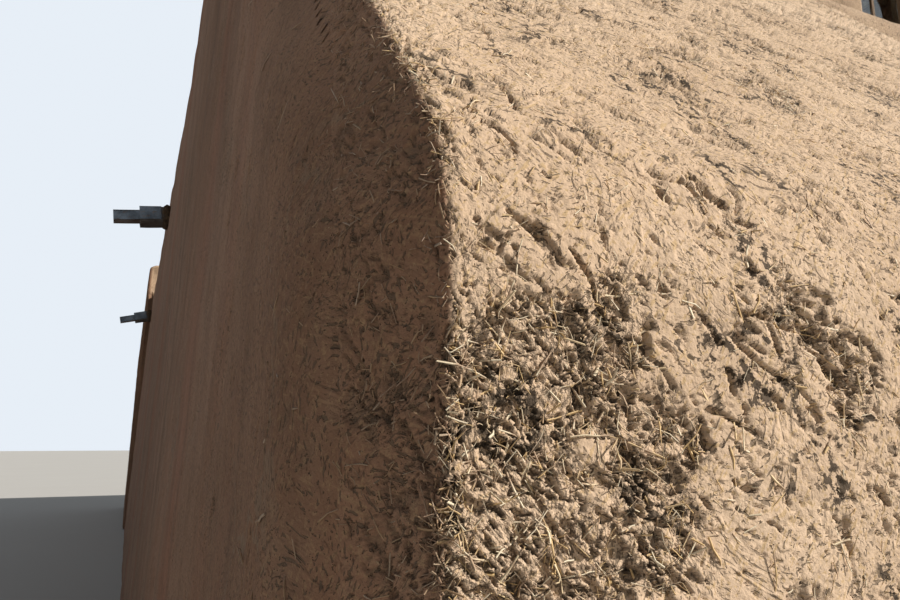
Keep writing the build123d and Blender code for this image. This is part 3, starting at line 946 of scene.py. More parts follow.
class SharedEffects:
    """Shader groups for effects that more than one finish uses."""

    def __init__(self) -> None:
        """Builds the groups once."""
        self.mottle = self._mottle()
        self.grit = self._grit()
        self.wood = self._wood()
        self.flecks = self._flecks()

    @staticmethod
    def _start(name: str, inputs: Sequence[str], outputs: Sequence[str]) -> GroupTree:
        """Starts an effect with a Place input, number inputs and number outputs."""
        held = {"Place": "Vector"} | {title: "Float" for title in inputs}
        return GroupTree(name, "ShaderNodeTree", held, {title: "Float" for title in outputs})

    def _mottle(self) -> bpy.types.NodeTree:
        """Cloudy shift of tone, and small specks, as masks from 0 to 1.

        Returns:
            The group.
        """
        build = self._start("earth_mottle", ("Size",), ("Mask", "Specks"))
        where = build.scaled(build.source["Place"], build.math("DIVIDE", 1.0, build.source["Size"]))
        broad = build.noise(where, 0.9, 5.0, 0.6)
        middle = build.noise(where, 7.0, 4.0, 0.6)
        total = build.plus(build.times(broad, 0.65), build.times(middle, 0.35))
        build.feed(build.result["Mask"], build.ramp(total, 0.32, 0.68))
        build.feed(build.result["Specks"], build.ramp(build.noise(where, 160.0, 3.0, 0.7), 0.52, 0.72))
        return build.tree

    def _grit(self) -> bpy.types.NodeTree:
        """Fine mud grain with straw prints, as a height in millimetres, and the small gaps in it as a mask
        that the finishes darken as painted shade.

        Returns:
            The group.
        """
        build = self._start("mud_grit", ("Straw", "Torn"), ("Height", "Gaps"))
        where, worn = build.source["Place"], build.source["Torn"]
        bent = build.pushed(where, 9.0, 1.0, 0.12)
        prints = []
        for turn, scale in ((0.6, 55.0), (-0.9, 70.0)):
            drawn = build.mapped(bent, (turn, turn * 0.7, turn * 1.3), (1.0, 1.0, 8.0), "TEXTURE")
            prints.append(build.ramp(build.noise(drawn, scale, 1.0, 0.4), 0.60, 0.70))
        straw = build.times(build.times(build.most(prints), 0.9), build.source["Straw"])
        chunks = build.add("ShaderNodeTexVoronoi", in_Vector=bent, in_Scale=230.0)
        torn = build.plus(0.25, build.times(worn, 2.2))
        crumb = build.times(build.less(0.6, chunks.outputs["Distance"]), torn)
        sandy = build.times(build.noise(where, 420.0, 2.0, 0.65), build.plus(0.6, torn))
        lumps = build.times(build.noise(where, 70.0, 2.0, 0.6), 2.2)
        holes = []
        for turn, scale in (((0.0, 2.12, -0.26), 230.0), ((0.3, 0.2, 0.0), 290.0)):
            drawn = build.mapped(bent, turn, (1.0, 1.0, 3.0), "TEXTURE")
            opened = build.plus(build.noise(drawn, scale, 2.0, 0.5), build.times(worn, 0.085))
            holes.append(build.ramp(opened, 0.630, 0.665))
        gaps = build.most(holes)
        height = build.less(build.plus(build.plus(sandy, crumb), lumps), build.times(gaps, 2.0))
        build.feed(build.result["Gaps"], gaps)
        build.feed(build.result["Height"], build.plus(height, straw))
        return build.tree

    def _flecks(self) -> bpy.types.NodeTree:
        """Chopped stalks lying in three directions, hairline cracks, and clefts between plates as a mask for
        painted shade.

        Returns:
            The group.
        """
        build = self._start("straw_flecks", ("Scale", "Torn"), ("Mask", "Cracks", "Clefts"))
        where = build.scaled(build.source["Place"], build.source["Scale"])
        stalks = []
        for turn in ((0.5, 0.2, 0.9), (-0.8, 0.5, -0.6), (1.9, -0.7, 0.3)):
            drawn = build.mapped(where, turn, (1.0, 1.0, 9.0), "TEXTURE")
            stalks.append(build.ramp(build.noise(drawn, 250.0, 1.0, 0.3), 0.655, 0.70))
        build.feed(build.result["Mask"], build.most(stalks))
        hair = self._borders(build, build.pushed(where, 6.0, 4.0, 0.35), 3.2)
        hair = build.less(1.0, build.ramp(hair, 0.004, 0.020))
        there = build.ramp(build.noise(where, 1.7, 2.0), 0.50, 0.62)
        build.feed(build.result["Cracks"], build.times(hair, there))
        bent = build.pushed(where, 16.0, 3.0, 0.09)
        drawn = build.mapped(bent, (0.0, 2.45, -0.40), (1.0, 1.0, 1.9), "TEXTURE")
        ragged = build.times(build.less(build.noise(where, 95.0, 3.0, 0.65), 0.50), 0.75)
        edge = build.plus(self._borders(build, drawn, 17.0), ragged)
        black = build.less(1.0, build.ramp(edge, 0.008, 0.040))
        worn = build.plus(build.noise(where, 7.0, 3.0), build.times(build.source["Torn"], 0.05))
        build.feed(build.result["Clefts"], build.times(black, build.ramp(worn, 0.50, 0.57)))
        return build.tree

    @staticmethod
    def _borders(build: Tree, place: Socket, scale: float) -> Socket:
        """Distance from the borders between cells."""
        node = build.add("ShaderNodeTexVoronoi", feature="DISTANCE_TO_EDGE", in_Vector=place, in_Scale=scale)
        return node.outputs["Distance"]

    def _wood(self) -> bpy.types.NodeTree:
        """Long weathered grain along X of the given place, as a mask and a height.

        Returns:
            The group.
        """
        build = self._start("weathered_grain", ("Scale",), ("Mask", "Height"))
        stretched = build.mapped(build.source["Place"], size=(0.07, 1.0, 1.0))
        where = build.scaled(stretched, build.source["Scale"])
        rings = build.noise(where, 38.0, 5.0, 0.7)
        cracks = build.ramp(build.noise(where, 70.0, 2.0, 0.5), 0.62, 0.70)
        build.feed(build.result["Mask"], build.ramp(rings, 0.35, 0.65))
        build.feed(build.result["Height"], build.less(rings, cracks))
        return build.tree


def toned(colour: Colour, *factors: float) -> Colour:
    """Colour with its channels multiplied by one factor, or by three."""
    scale = factors * 3 if len(factors) == 1 else factors
    return tuple(min(1.0, channel * factor) for channel, factor in zip(colour, scale))


@dataclass(frozen=True)
class MudFinish:
    """Mud plaster or packed earth.

    Attributes:
        name: the material's name.
        pale: dry, sun-bleached tone.
        dark: damp or worn tone.
        relief: strength of the fine grain in metres for each unit of its height.
        straw: how strongly straw prints show.
        streaks: how strongly rain has streaked it.
        straw_colour: colour of the straw in it.
        shade_side_pale: pale tone of painted shade, on faces that the mesh marks as turned away from the key
            light.
        shade_side_dark: dark tone of that painted shade.
        flecks: how strongly chopped stalks show in the mud.
        cracks: how strongly hairline cracks show.
        gaps: how strongly painted shade darkens the small gaps between crumbs.
        clefts: how strongly painted shade darkens the ragged clefts between plates of plaster, near black.
    """

    name: str
    pale: Colour
    dark: Colour
    relief: float = 0.001
    straw: float = 1.0
    streaks: float = 0.0
    straw_colour: Colour = (0.42, 0.28, 0.15)
    shade_side_pale: Colour | None = None
    shade_side_dark: Colour | None = None
    flecks: float = 0.7
    cracks: float = 0.8
    gaps: float = 0.70
    clefts: float = 0.0

    def build(self, effects: SharedEffects) -> bpy.types.Material:
        """Makes the material.

        Args:
            effects: the shared groups.

        Returns:
            The material.
        """
        build = MaterialTree(self.name)
        tone = build.effect(effects.mottle, build.place, Size=1.0)
        colour = build.mix(tone["Mask"], self.pale, self.dark)
        # Painted shade: faces that the mesh marks as turned away from the key light take darker, redder
        # shade-side tones.
        side = build.value("side") if self.shade_side_dark else None
        if side:
            colour = build.mix(side, colour, build.mix(tone["Mask"], self.shade_side_pale, self.shade_side_dark))
        colour = build.tint(colour, tone["Specks"], 0.35, self.straw_colour)
        if self.streaks:
            colour = self._rain(build, colour, build.times(side, self.streaks))
        bare, deep = build.value("bare"), build.value("deep")
        laid = build.effect(effects.flecks, build.place, Scale=1.0, Torn=bare)
        grit = build.effect(effects.grit, build.place, Straw=self.straw, Torn=bare)
        stalks, clefts = build.times(laid["Mask"], self.flecks), build.times(laid["Clefts"], self.clefts)
        if side:
            stalks = build.times(stalks, build.less(1.0, build.times(side, 0.75)))
            clefts = build.times(clefts, build.less(1.0, build.times(side, 0.9)))
        colour = build.mix(stalks, colour, self.straw_colour)
        colour = build.tint(colour, laid["Cracks"], self.cracks, toned(self.dark, 0.45))
        colour = build.tint(colour, bare, 0.30, toned(self.pale, 1.15))
        # Painted shade: darkens clefts, chips and the spaces between crumbs, and the shaded wall's faces,
        # towards a near-black tone.
        colour = build.tint(colour, deep, 0.9, toned(self.dark, 0.20))
        # Painted shade in the small gaps between crumbs.
        colour = build.tint(colour, grit["Gaps"], self.gaps, toned(self.dark, 0.20))
        # Painted shade: the ragged clefts between plates turn near black.
        colour = build.mix(clefts, colour, toned(self.dark, 0.10))
        rough = build.plus(0.86, build.times(tone["Mask"], 0.10))
        build.surface(Base_Color=colour, Roughness=rough, Specular_IOR_Level=0.2)
        build.bump(grit["Height"], self.relief)
        return build.material

    def _rain(self, build: MaterialTree, colour: Socket, share: Socket) -> Socket:
        """Adds reddish washes and thin wet lines that run down.

        Args:
            build: the material in the making.
            colour: the colour so far.
            share: how strongly rain has streaked each place.

        Returns:
            The streaked colour.
        """
        fall = build.mapped(build.place, size=(1.0, 1.0, 0.11))
        thin = build.ramp(build.noise(fall, 5.5, 4.0, 0.6), 0.45, 0.70)
        wide = build.ramp(build.noise(fall, 1.7, 2.0, 0.5), 0.42, 0.66)
        colour = build.tint(colour, wide, share, toned(self.shade_side_dark, 1.35, 0.92, 0.80))
        return build.tint(colour, thin, build.times(share, 0.8), toned(self.shade_side_dark, 0.55))


@dataclass(frozen=True)
class TimberFinish:
    """Weathered wood, with its grain along one axis.

    Attributes:
        name: the material's name.
        light: colour between the grain lines.
        dark: colour of the grain lines.
        turn: rotation that lays the grain along the piece.
        scale: how fine the grain is.
    """

    name: str
    light: Colour
    dark: Colour
    turn: Triple = (0.0, 0.0, 0.0)
    scale: float = 1.0

    def build(self, effects: SharedEffects) -> bpy.types.Material:
        """Makes the material.

        Args:
            effects: the shared groups.

        Returns:
            The material.
        """
        build = MaterialTree(self.name)
        grain = build.effect(effects.wood, build.mapped(build.place, self.turn), Scale=self.scale)
        tone = build.effect(effects.mottle, build.place, Size=0.35)
        worn = tuple(min(1.0, channel * 1.35 + 0.02) for channel in self.light)
        colour = build.tint(build.mix(grain["Mask"], self.dark, self.light), tone["Mask"], 0.45, worn)
        rough = build.less(0.86, build.times(grain["Mask"], 0.16))
        build.surface(Base_Color=colour, Roughness=rough, Specular_IOR_Level=0.3)
        build.bump(grain["Height"], 0.002)
        return build.material


@dataclass(frozen=True)
class SheetMetalFinish:
    """Dull galvanised sheet with streaks and spangles, rusty underneath.

    Attributes:
        name: the material's name.
        pale: tone of clean sheet.
        dark: tone of dull sheet.
        rust: tone of rusted sheet.
    """

    name: str = "galvanised_sheet"
    pale: Colour = (0.125, 0.142, 0.160)
    dark: Colour = (0.050, 0.058, 0.068)
    rust: Colour = (0.115, 0.062, 0.030)

    def build(self, effects: SharedEffects) -> bpy.types.Material:
        """Makes the material.

        Args:
            effects: the shared groups.

        Returns:
            The material.
        """
        build = MaterialTree(self.name)
        spangle = build.add("ShaderNodeTexVoronoi", in_Vector=build.place, in_Scale=55.0)
        tone = build.effect(effects.mottle, build.place, Size=0.12)
        colour = build.mix(tone["Mask"], self.pale, self.dark)
        colour = build.tint(colour, spangle.outputs["Distance"], 0.35, self.pale)
        facing = build.add("ShaderNodeSeparateXYZ", in_0=build.add("ShaderNodeNewGeometry").outputs["Normal"])
        under = build.ramp(facing.outputs["Z"], -0.35, -0.75)
        patchy = build.ramp(build.noise(build.place, 26.0, 5.0, 0.65), 0.54, 0.66)
        rusty = build.most((under, build.times(patchy, 0.6)))
        build.surface(
            Base_Color=build.mix(rusty, colour, self.rust),
            Metallic=build.less(0.85, build.times(rusty, 0.8)),
            Roughness=build.plus(0.36, build.times(tone["Mask"], 0.25)),
        )
        build.bump(tone["Mask"], 0.0008)
        return build.material


@dataclass(frozen=True)
class GlassFinish:
    """Old, slightly dusty window glass.

    Attributes:
        name: the material's name.
        tint: tone of clean glass.
        dusty: tone of dusty glass.
    """

    name: str = "window_glass"
    tint: Colour = (0.80, 0.86, 0.84)
    dusty: Colour = (0.74, 0.78, 0.74)

    def build(self, effects: SharedEffects) -> bpy.types.Material:
        """Makes the material.

        Args:
            effects: the shared groups.

        Returns:
            The material.
        """
        build = MaterialTree(self.name)
        dust = build.effect(effects.mottle, build.place, Size=0.2)["Mask"]
        build.surface(Base_Color=build.mix(dust, self.tint, self.dusty), Roughness=build.times(dust, 0.10))
        build.surface(Transmission_Weight=1.0, IOR=1.46, Specular_IOR_Level=0.2)
        return build.material


@dataclass(frozen=True)
class StrawFinish:
    """Chopped straw, from silver to gold, each stalk in its own tone.

    Attributes:
        name: the material's name.
        silver: tone of the most bleached stalks.
        gold: tone of the freshest stalks.
        muddy: tone of stalks smeared with mud.
        shaded: painted shade tone of stalks on faces turned away from the key light.
    """

    name: str = "chopped_straw"
    silver: Colour = (0.84, 0.73, 0.54)
    gold: Colour = (0.68, 0.47, 0.22)
    muddy: Colour = (0.42, 0.29, 0.19)
    shaded: Colour = (0.26, 0.15, 0.09)

    def build(self, effects: SharedEffects) -> bpy.types.Material:
        """Makes the material.

        Args:
            effects: the shared groups.

        Returns:
            The material.
        """
        build = MaterialTree(self.name)
        colour = build.mix(build.ramp(build.value("tone"), 0.15, 0.80), self.gold, self.silver)
        clay = build.noise(build.place, 60.0, 3.0)
        colour = build.mix(build.ramp(clay, 0.46, 0.62), colour, self.muddy)
        # Painted shade on stalks that lie on faces turned away from the key light.
        colour = build.tint(colour, build.value("side"), 0.75, self.shaded)
        tone = build.effect(effects.mottle, build.place, Size=0.1)["Mask"]
        colour = build.tint(colour, tone, 0.25, self.muddy)
        build.surface(Base_Color=colour, Roughness=build.plus(0.50, build.times(tone, 0.3)))
        build.bump(build.noise(build.place, 900.0, 2.0), 0.0003)
        return build.material


# Painted shade: darker, redder tones for faces turned away from the key light.
SHADE_SIDE_PALE, SHADE_SIDE_DARK = (0.370, 0.206, 0.129), (0.258, 0.141, 0.088)


class Finish(Enum):
    """The finishes of the house, named by the record's material slots where one fits."""

    BUTTRESS = MudFinish(
        "straw_plaster", (0.71, 0.535, 0.385), (0.58, 0.420, 0.290), relief=0.0011, straw=1.2, streaks=0.60,
        straw_colour=(0.52, 0.36, 0.19), shade_side_pale=SHADE_SIDE_PALE, shade_side_dark=SHADE_SIDE_DARK, cracks=0.6, clefts=0.92,
    )
    WALLS = MudFinish(
        "adobe_plaster", (0.560, 0.405, 0.282), (0.430, 0.300, 0.205), relief=0.0016, streaks=0.45,
        straw_colour=(0.60, 0.45, 0.27), shade_side_pale=SHADE_SIDE_PALE, shade_side_dark=SHADE_SIDE_DARK,
        flecks=0.6, cracks=0.7, gaps=0.6, clefts=0.45,
    )
    ROOF = MudFinish(
        "roof_earth", (0.42, 0.31, 0.22), (0.31, 0.22, 0.15), relief=0.0030, straw=0.6,
        straw_colour=(0.50, 0.37, 0.22),
    )
    FLOOR = MudFinish("earth_floor", (0.33, 0.23, 0.16), (0.24, 0.165, 0.11), relief=0.0006, straw=0.3)
    # Painted shade: the collar is near black to stand for the shadow where the trough leaves the wall.
    COLLAR = MudFinish("collar_shade", (0.075, 0.050, 0.034), (0.035, 0.024, 0.017), relief=0.0016, straw=0.6)
    LOGS = TimberFinish("roof_log", (0.36, 0.235, 0.130), (0.20, 0.120, 0.060))
    DECK = TimberFinish("pole_deck", (0.40, 0.275, 0.160), (0.22, 0.140, 0.075), (0, 0, math.pi / 2), 1.6)
    LINTEL = TimberFinish("hewn_timber", (0.30, 0.205, 0.130), (0.15, 0.095, 0.055))
    JOINERY = TimberFinish(
        "joinery_timber", (0.26, 0.175, 0.110), (0.13, 0.082, 0.048), (0, math.pi / 2, 0), 1.8
    )
    DRAIN = TimberFinish("drain_timber", (0.145, 0.125, 0.110), (0.050, 0.038, 0.030), scale=2.2)
    SHEET = SheetMetalFinish()
    GLASS = GlassFinish()
    STRAW = StrawFinish()


class Palette:
    """Each finish's material, made once, and what it is put on."""

    def __init__(self) -> None:
        """Builds every material."""
        effects = SharedEffects()
        self.made = {finish: finish.value.build(effects) for finish in Finish}

    def repaint_solids(self) -> None:
        """Gives every CAD node its slot's finish, with its mesh left as it is."""
        by_slot = {finish.value.name: self.made[finish] for finish in Finish}
        for part in frame["record"]["subparts"]:
            for slot in frame["nodes"][part["node"]].material_slots:
                slot.link = "OBJECT"
                slot.material = by_slot[part["material_slot"]]

    def seat(self, piece: bpy.types.Object, finish: Finish, *nodes: str, slot: str = "") -> None:
        """Gives a finished piece its material and ties it to the house.

        Args:
            piece: the piece.
            finish: its finish.
            *nodes: the CAD nodes that it stands for.
            slot: the record's material slot, where the finish has another name; not used.
        """
        piece.data.materials.clear()
        piece.data.materials.append(self.made[finish])
        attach(piece, ROOT)
        if nodes:
            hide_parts(*nodes)
        piece.data.calc_loop_triangles()
        LOG.info("%s: %d triangles", piece.name, len(piece.data.loop_triangles))


# Earth walls


@dataclass
class EarthShell:
    """All the walls as one hand-rounded earth body, cut into pieces for the storeys.

    Attributes:
        form: smooth outline of the left front.
        voxel: size of the mesh's squares.
        sunk: how far the shell draws back under the finer skins of the left front.
        rear_lean: how far the rear room's left face has weathered back at its top.
        ground: the ground storey's wall nodes.
        rear: the rear room's wall nodes.
        upper: the upper room's wall nodes.
    """

    form: HouseForm
    voxel: float = 0.082
    sunk: float = 0.055
    rear_lean: float = 0.04
    ground: tuple[str, ...] = (
        "left_wall", "front_wall_left", "front_wall_right", "front_wall_over_door",
        "front_threshold", "right_wall_front", "right_wall_rear", "corner_buttress",
    )
    rear: tuple[str, ...] = tuple(f"rear_room_{side}_wall" for side in ("front", "left", "right", "back"))
    upper: tuple[str, ...] = tuple(f"upper_{side}_wall" for side in ("front", "rear", "left", "right"))

    def joined(self) -> tuple[Array, Array, Array]:
        """Joins copies of all the wall nodes and remeshes them as one body.

        Returns:
            Its points, their outward directions, and its four-sided faces.
        """
        body = voxel_body((*self.ground, *self.rear, *self.upper), self.voxel, 3)
        points, normals = (vertex_rows(body, key).astype(float) for key in ("co", "normal"))
        corners = np.empty(len(body.loops), np.int32)
        body.loops.foreach_get("vertex_index", corners)
        bpy.data.meshes.remove(body)
        return points, normals, corners.reshape(-1, 4)

    def covered(self, points: Array, normals: Array) -> Array:
        """How surely the finer skins lie over points.

        Args:
            points: the body's points.
            normals: their outward directions.

        Returns:
            Share from 0 to 1.
        """
        form = self.form
        past_corner = points[:, 1] - form.front - points[:, 2] * form.batter
        skinned = ramp(past_corner, 0.14, 0.34) + ramp(form.slope_face(points), 0.06, 0.0)
        left = ramp(form.distance(points), -0.10, -0.06) * np.clip(skinned, 0, 1)
        left *= ramp(points[:, 0], form.right + 0.02, form.right - 0.2) * ramp(points[:, 0], -2.9, -3.05)
        rear_face = corner("rear_room_front_wall").y
        left *= ramp(points[:, 1], rear_face + 0.03, rear_face - 0.03)
        gap = form.buttress(points)
        beside = ramp(gap, -0.10, -0.06) * ramp(gap, 0.14, 0.09)
        on_buttress = beside * ramp(points[:, 1], form.front + 0.06, form.front)
        on_slope = beside * ramp(normals[:, 1], -0.5, -0.7)
        return np.clip(np.maximum.reduce([left, on_buttress, on_slope]), 0, 1)

    def relieved(self, points: Array, normals: Array) -> tuple[Array, Array, Array]:
        """Gives the body the hand-made unevenness of mud walls.

        Args:
            points: its points.
            normals: their outward directions.

        Returns:
            The moved points, how bare straw lies there, and how much painted shade darkens each cleft.
        """
        foot = ramp(points[:, 2], 0.0, 0.25)
        fine, bare, deep = RELIEF.fine(points, 0.0, 0.0)
        rise = (RELIEF.broad(points) + 1.4 * np.clip(fine, -0.006, 0.006)) * foot
        covered = self.covered(points, normals)
        drawn_back = -self.sunk - np.clip(self.form.distance(points), 0, 0.1)
        moved = points + normals * (rise * (1 - covered) + drawn_back * covered)[:, None]
        side, rear_face = corner("rear_room_left_wall").x, corner("rear_room_front_wall").y
        rear_left = ramp(points[:, 0], side + 0.30, side + 0.10) * (points[:, 1] > rear_face - 0.03)
        moved[:, 0] += rear_left * self.rear_lean * np.clip((points[:, 2] - 3.0) / 2.0, 0, 1)
        return np.clip(moved, CAD_BOX[0], CAD_BOX[1]), bare, deep

    def build(self, palette: Palette) -> None:
        """Makes the body and cuts it into the three storeys' pieces.

        Args:
            palette: the finishes.
        """
        points, normals, faces = self.joined()
        moved, bare, deep = self.relieved(points, normals)
        centre = points[faces].mean(axis=1)
        rear = centre[:, 1] > corner("rear_room_front_wall").y
        upper = ~rear & (centre[:, 2] > corner("roof_earth", True).z + self.voxel)
        upper &= centre[:, 0] > corner("upper_left_wall").x - self.voxel
        upper &= centre[:, 1] > corner("upper_front_wall").y - self.voxel
        upper &= centre[:, 1] < corner("upper_rear_wall", True).y + self.voxel
        for name, nodes, chosen in (
            ("ground_storey_walls", self.ground, ~(rear | upper)),
            ("rear_room_walls", self.rear, rear),
            ("upper_room_walls", self.upper, upper),
        ):
            used, index = np.unique(faces[chosen], return_inverse=True)
            piece = mesh_object(name, moved[used], index.reshape(-1, 4))
            # Painted shade: faces turned away from the key light are marked for the darker shade-side tones
            # and get extra darkening, added to the painted shade in clefts.
            shaded = ramp(-normals[used, 0], 0.30, 0.70)
            cleft_and_side_shade = deep[used] * 0.10 + shaded * 0.18
            point_values(piece, bare=0.15 + bare[used] * 0.5, deep=cleft_and_side_shade, side=shaded)
            palette.seat(piece, Finish.WALLS, *nodes)


@dataclass
class ButtressSkin:
    """Plaster of the corner buttress: a middling skin all over, and a fine one where the lens stood close.

    Attributes:
        form: smooth outline of the left front.
        view: the photograph's view.
        step: spacing of the middling skin.
        pixel: spacing of the fine skin in photograph pixels.
        left: the fine skin's first column in the photograph.
        margin: how far the fine skin runs past the photograph's other edges, in pixels.
        side_strip: how far the middling skin runs round the long edges.
        crest_strip: how far it runs on over the parapet.
    """

    form: HouseForm
    view: PhotoView
    step: float = 0.0150
    pixel: float = 1.95
    left: float = 296.0
    margin: float = 46.0
    side_strip: float = 0.30
    crest_strip: float = 0.20

    def profile(self) -> tuple[Array, Array]:
        """Line up the front and the slope.

        Returns:
            Its points in the YZ plane, and their outward directions.
        """
        form = self.form
        angle = math.radians(form.slope)
        turning = np.array([form.shoulder_y, form.shoulder])
        upright = np.linspace([form.foot, 0.0], turning, int(form.shoulder / self.step))
        run = (form.crest - form.shoulder) / math.sin(angle)
        along = np.linspace(0, run, int(run / self.step))[1:, None]
        sloping = turning + along * np.array([math.cos(angle), math.sin(angle)])
        over = np.arange(self.step, self.crest_strip, self.step)
        level = np.stack([sloping[-1, 0] + over, np.full(len(over), form.crest)], axis=1)
        line = np.concatenate([upright, sloping, level])
        tangent = np.gradient(line, axis=0)
        tangent /= np.linalg.norm(tangent, axis=1, keepdims=True)
        return line, np.stack([-tangent[:, 1], tangent[:, 0]], axis=1)

    def middling(self) -> bpy.types.Object:
        """Makes the skin of the whole front, slope and both long edges.

        Returns:
            The piece.
        """
        form = self.form
        line, outward = self.profile()
        width, strip = form.right - form.left, self.side_strip
        across = np.linspace(-strip, width + strip, int((width + 2 * strip) / self.step))
        depth = np.maximum(-across, 0) + np.maximum(across - width, 0)
        lean = line[:, 1:2] * form.batter
        points = np.empty((len(line), len(across), 3))
        points[..., 0] = form.left + lean + np.clip(across, 0, width) * (width - 2 * lean) / width
        points[..., 1:] = line[:, None, :] - outward[:, None, :] * depth[None, :, None]
        settled = form.settle(points.reshape(-1, 3), 7)
        return self.relieved("buttress_plaster", settled, len(line), len(across))

    def fine(self) -> list[bpy.types.Object]:
        """Makes the close-up skin in two halves, spaced evenly as the lens sees it.

        Returns:
            The left and the right half.
        """
        across = np.arange(self.left, PHOTO_WIDTH + self.margin, self.pixel)
        down = np.arange(-self.margin, PHOTO_HEIGHT + self.margin, self.pixel)
        column, row = (grid.ravel() for grid in np.meshgrid(across, down))
        points, hit = self.form.meet(np.array(self.view.eye), self.view.rays(column, row))
        limit = self.form.right - points[:, 2] * self.form.batter - 0.03
        hit &= (points[:, 0] < limit) & (points[:, 2] < self.form.crest - 0.15)
        in_view = np.minimum.reduce([column - across[0], across[-1] - column, row - down[0], down[-1] - row])
        edge = np.minimum(in_view / 40, (limit - points[:, 0]) / 0.08)
        halves = []
        middle = len(across) * 2 // 5
        for name, part in (("left", slice(0, middle + 1)), ("right", slice(middle, len(across)))):
            grid = np.arange(len(points)).reshape(len(down), len(across))[:, part]
            chosen = grid.ravel()
            name = f"buttress_close_plaster_{name}"
            halves.append(self.relieved(name, points[chosen], *grid.shape, hit[chosen], edge[chosen]))
        return halves

    def relieved(
        self,
        name: str,
        points: Array,
        rows: int,
        columns: int,
        keep: Array | None = None,
        edge: Array | None = None,
    ) -> bpy.types.Object:
        """Raises a grid of surface points into plaster.

        Args:
            name: the piece's name.
            points: places on the smooth form.
            rows: grid rows.
            columns: grid columns.
            keep: which points belong to the fine skin; none for the middling skin under it.
            edge: distance from the fine skin's own edge, at 1 far enough inside.

        Returns:
            The piece.
        """
        form = self.form
        normals = form.normals(points)
        face = np.maximum(form.slope_face(points), form.foot + points[:, 2] * form.batter - points[:, 1])
        along_edge = ramp(form.side(points), -0.17, -0.06) * ramp(face, -0.34, -0.05)
        fine, bare, deep = RELIEF.fine(points, along_edge * 0.55, 0.0 if edge is None else 1.0)
        calm = ramp(-normals[:, 0], 0.45, 0.80)
        fine, bare, deep = fine * (1 - 0.5 * calm), bare * (1 - 0.6 * calm), deep * (1 - 0.35 * calm)
        height = RELIEF.broad(points) + fine
        if edge is None:
            height = height - 0.004 * self.view.seen(points)
        else:
            height = height - 0.012 * (1 - ramp(edge, 0.0, 1.0)) + 0.0008
        foot = ramp(points[:, 2], 0.0, 0.12)
        moved = points + normals * np.where(height > 0, height * foot, height)[:, None]
        faces, used = grid_faces(rows, columns, keep)
        moved = np.clip(moved, CAD_BOX[0], CAD_BOX[1])[used]
        normals, bare, deep = normals[used], bare[used], deep[used]
        piece = mesh_object(name, moved, faces_outward(moved, faces, normals))
        # Painted shade: the side value marks faces turned away from the key light for the shade-side tones.
        point_values(piece, bare=bare, deep=deep, side=ramp(-normals[:, 0], 0.30, 0.56))
        turned = np.degrees(np.arctan2(-normals[:, 1], -normals[:, 0]))
        edge_share = np.exp(-(((turned - 52) / 20) ** 2)) * (np.abs(normals[:, 0]) > 0.1)
        fringe = edge_share * self.straw_share(moved, normals, np.ones(len(moved)))
        point_values(piece, straw=self.straw_share(moved, normals, bare), fringe=fringe)
        return piece

    def straw_share(self, points: Array, normals: Array, bare: Array) -> Array:
        """How thickly straw lies: thickest where it is bare and near the lens.

        Args:
            points: the plaster's points.
            normals: their outward directions.
            bare: how bare straw lies there.

        Returns:
            Share from 0 to 1.
        """
        away = np.linalg.norm(points - np.array(self.view.eye), axis=1)
        near = np.clip((0.75 / np.maximum(away, 0.2)) ** 1.3, 0.05, 1.0)
        lit = 1 - 0.6 * ramp(-normals[:, 0], 0.45, 0.8)
        return (0.08 + 0.92 * bare) * near * lit


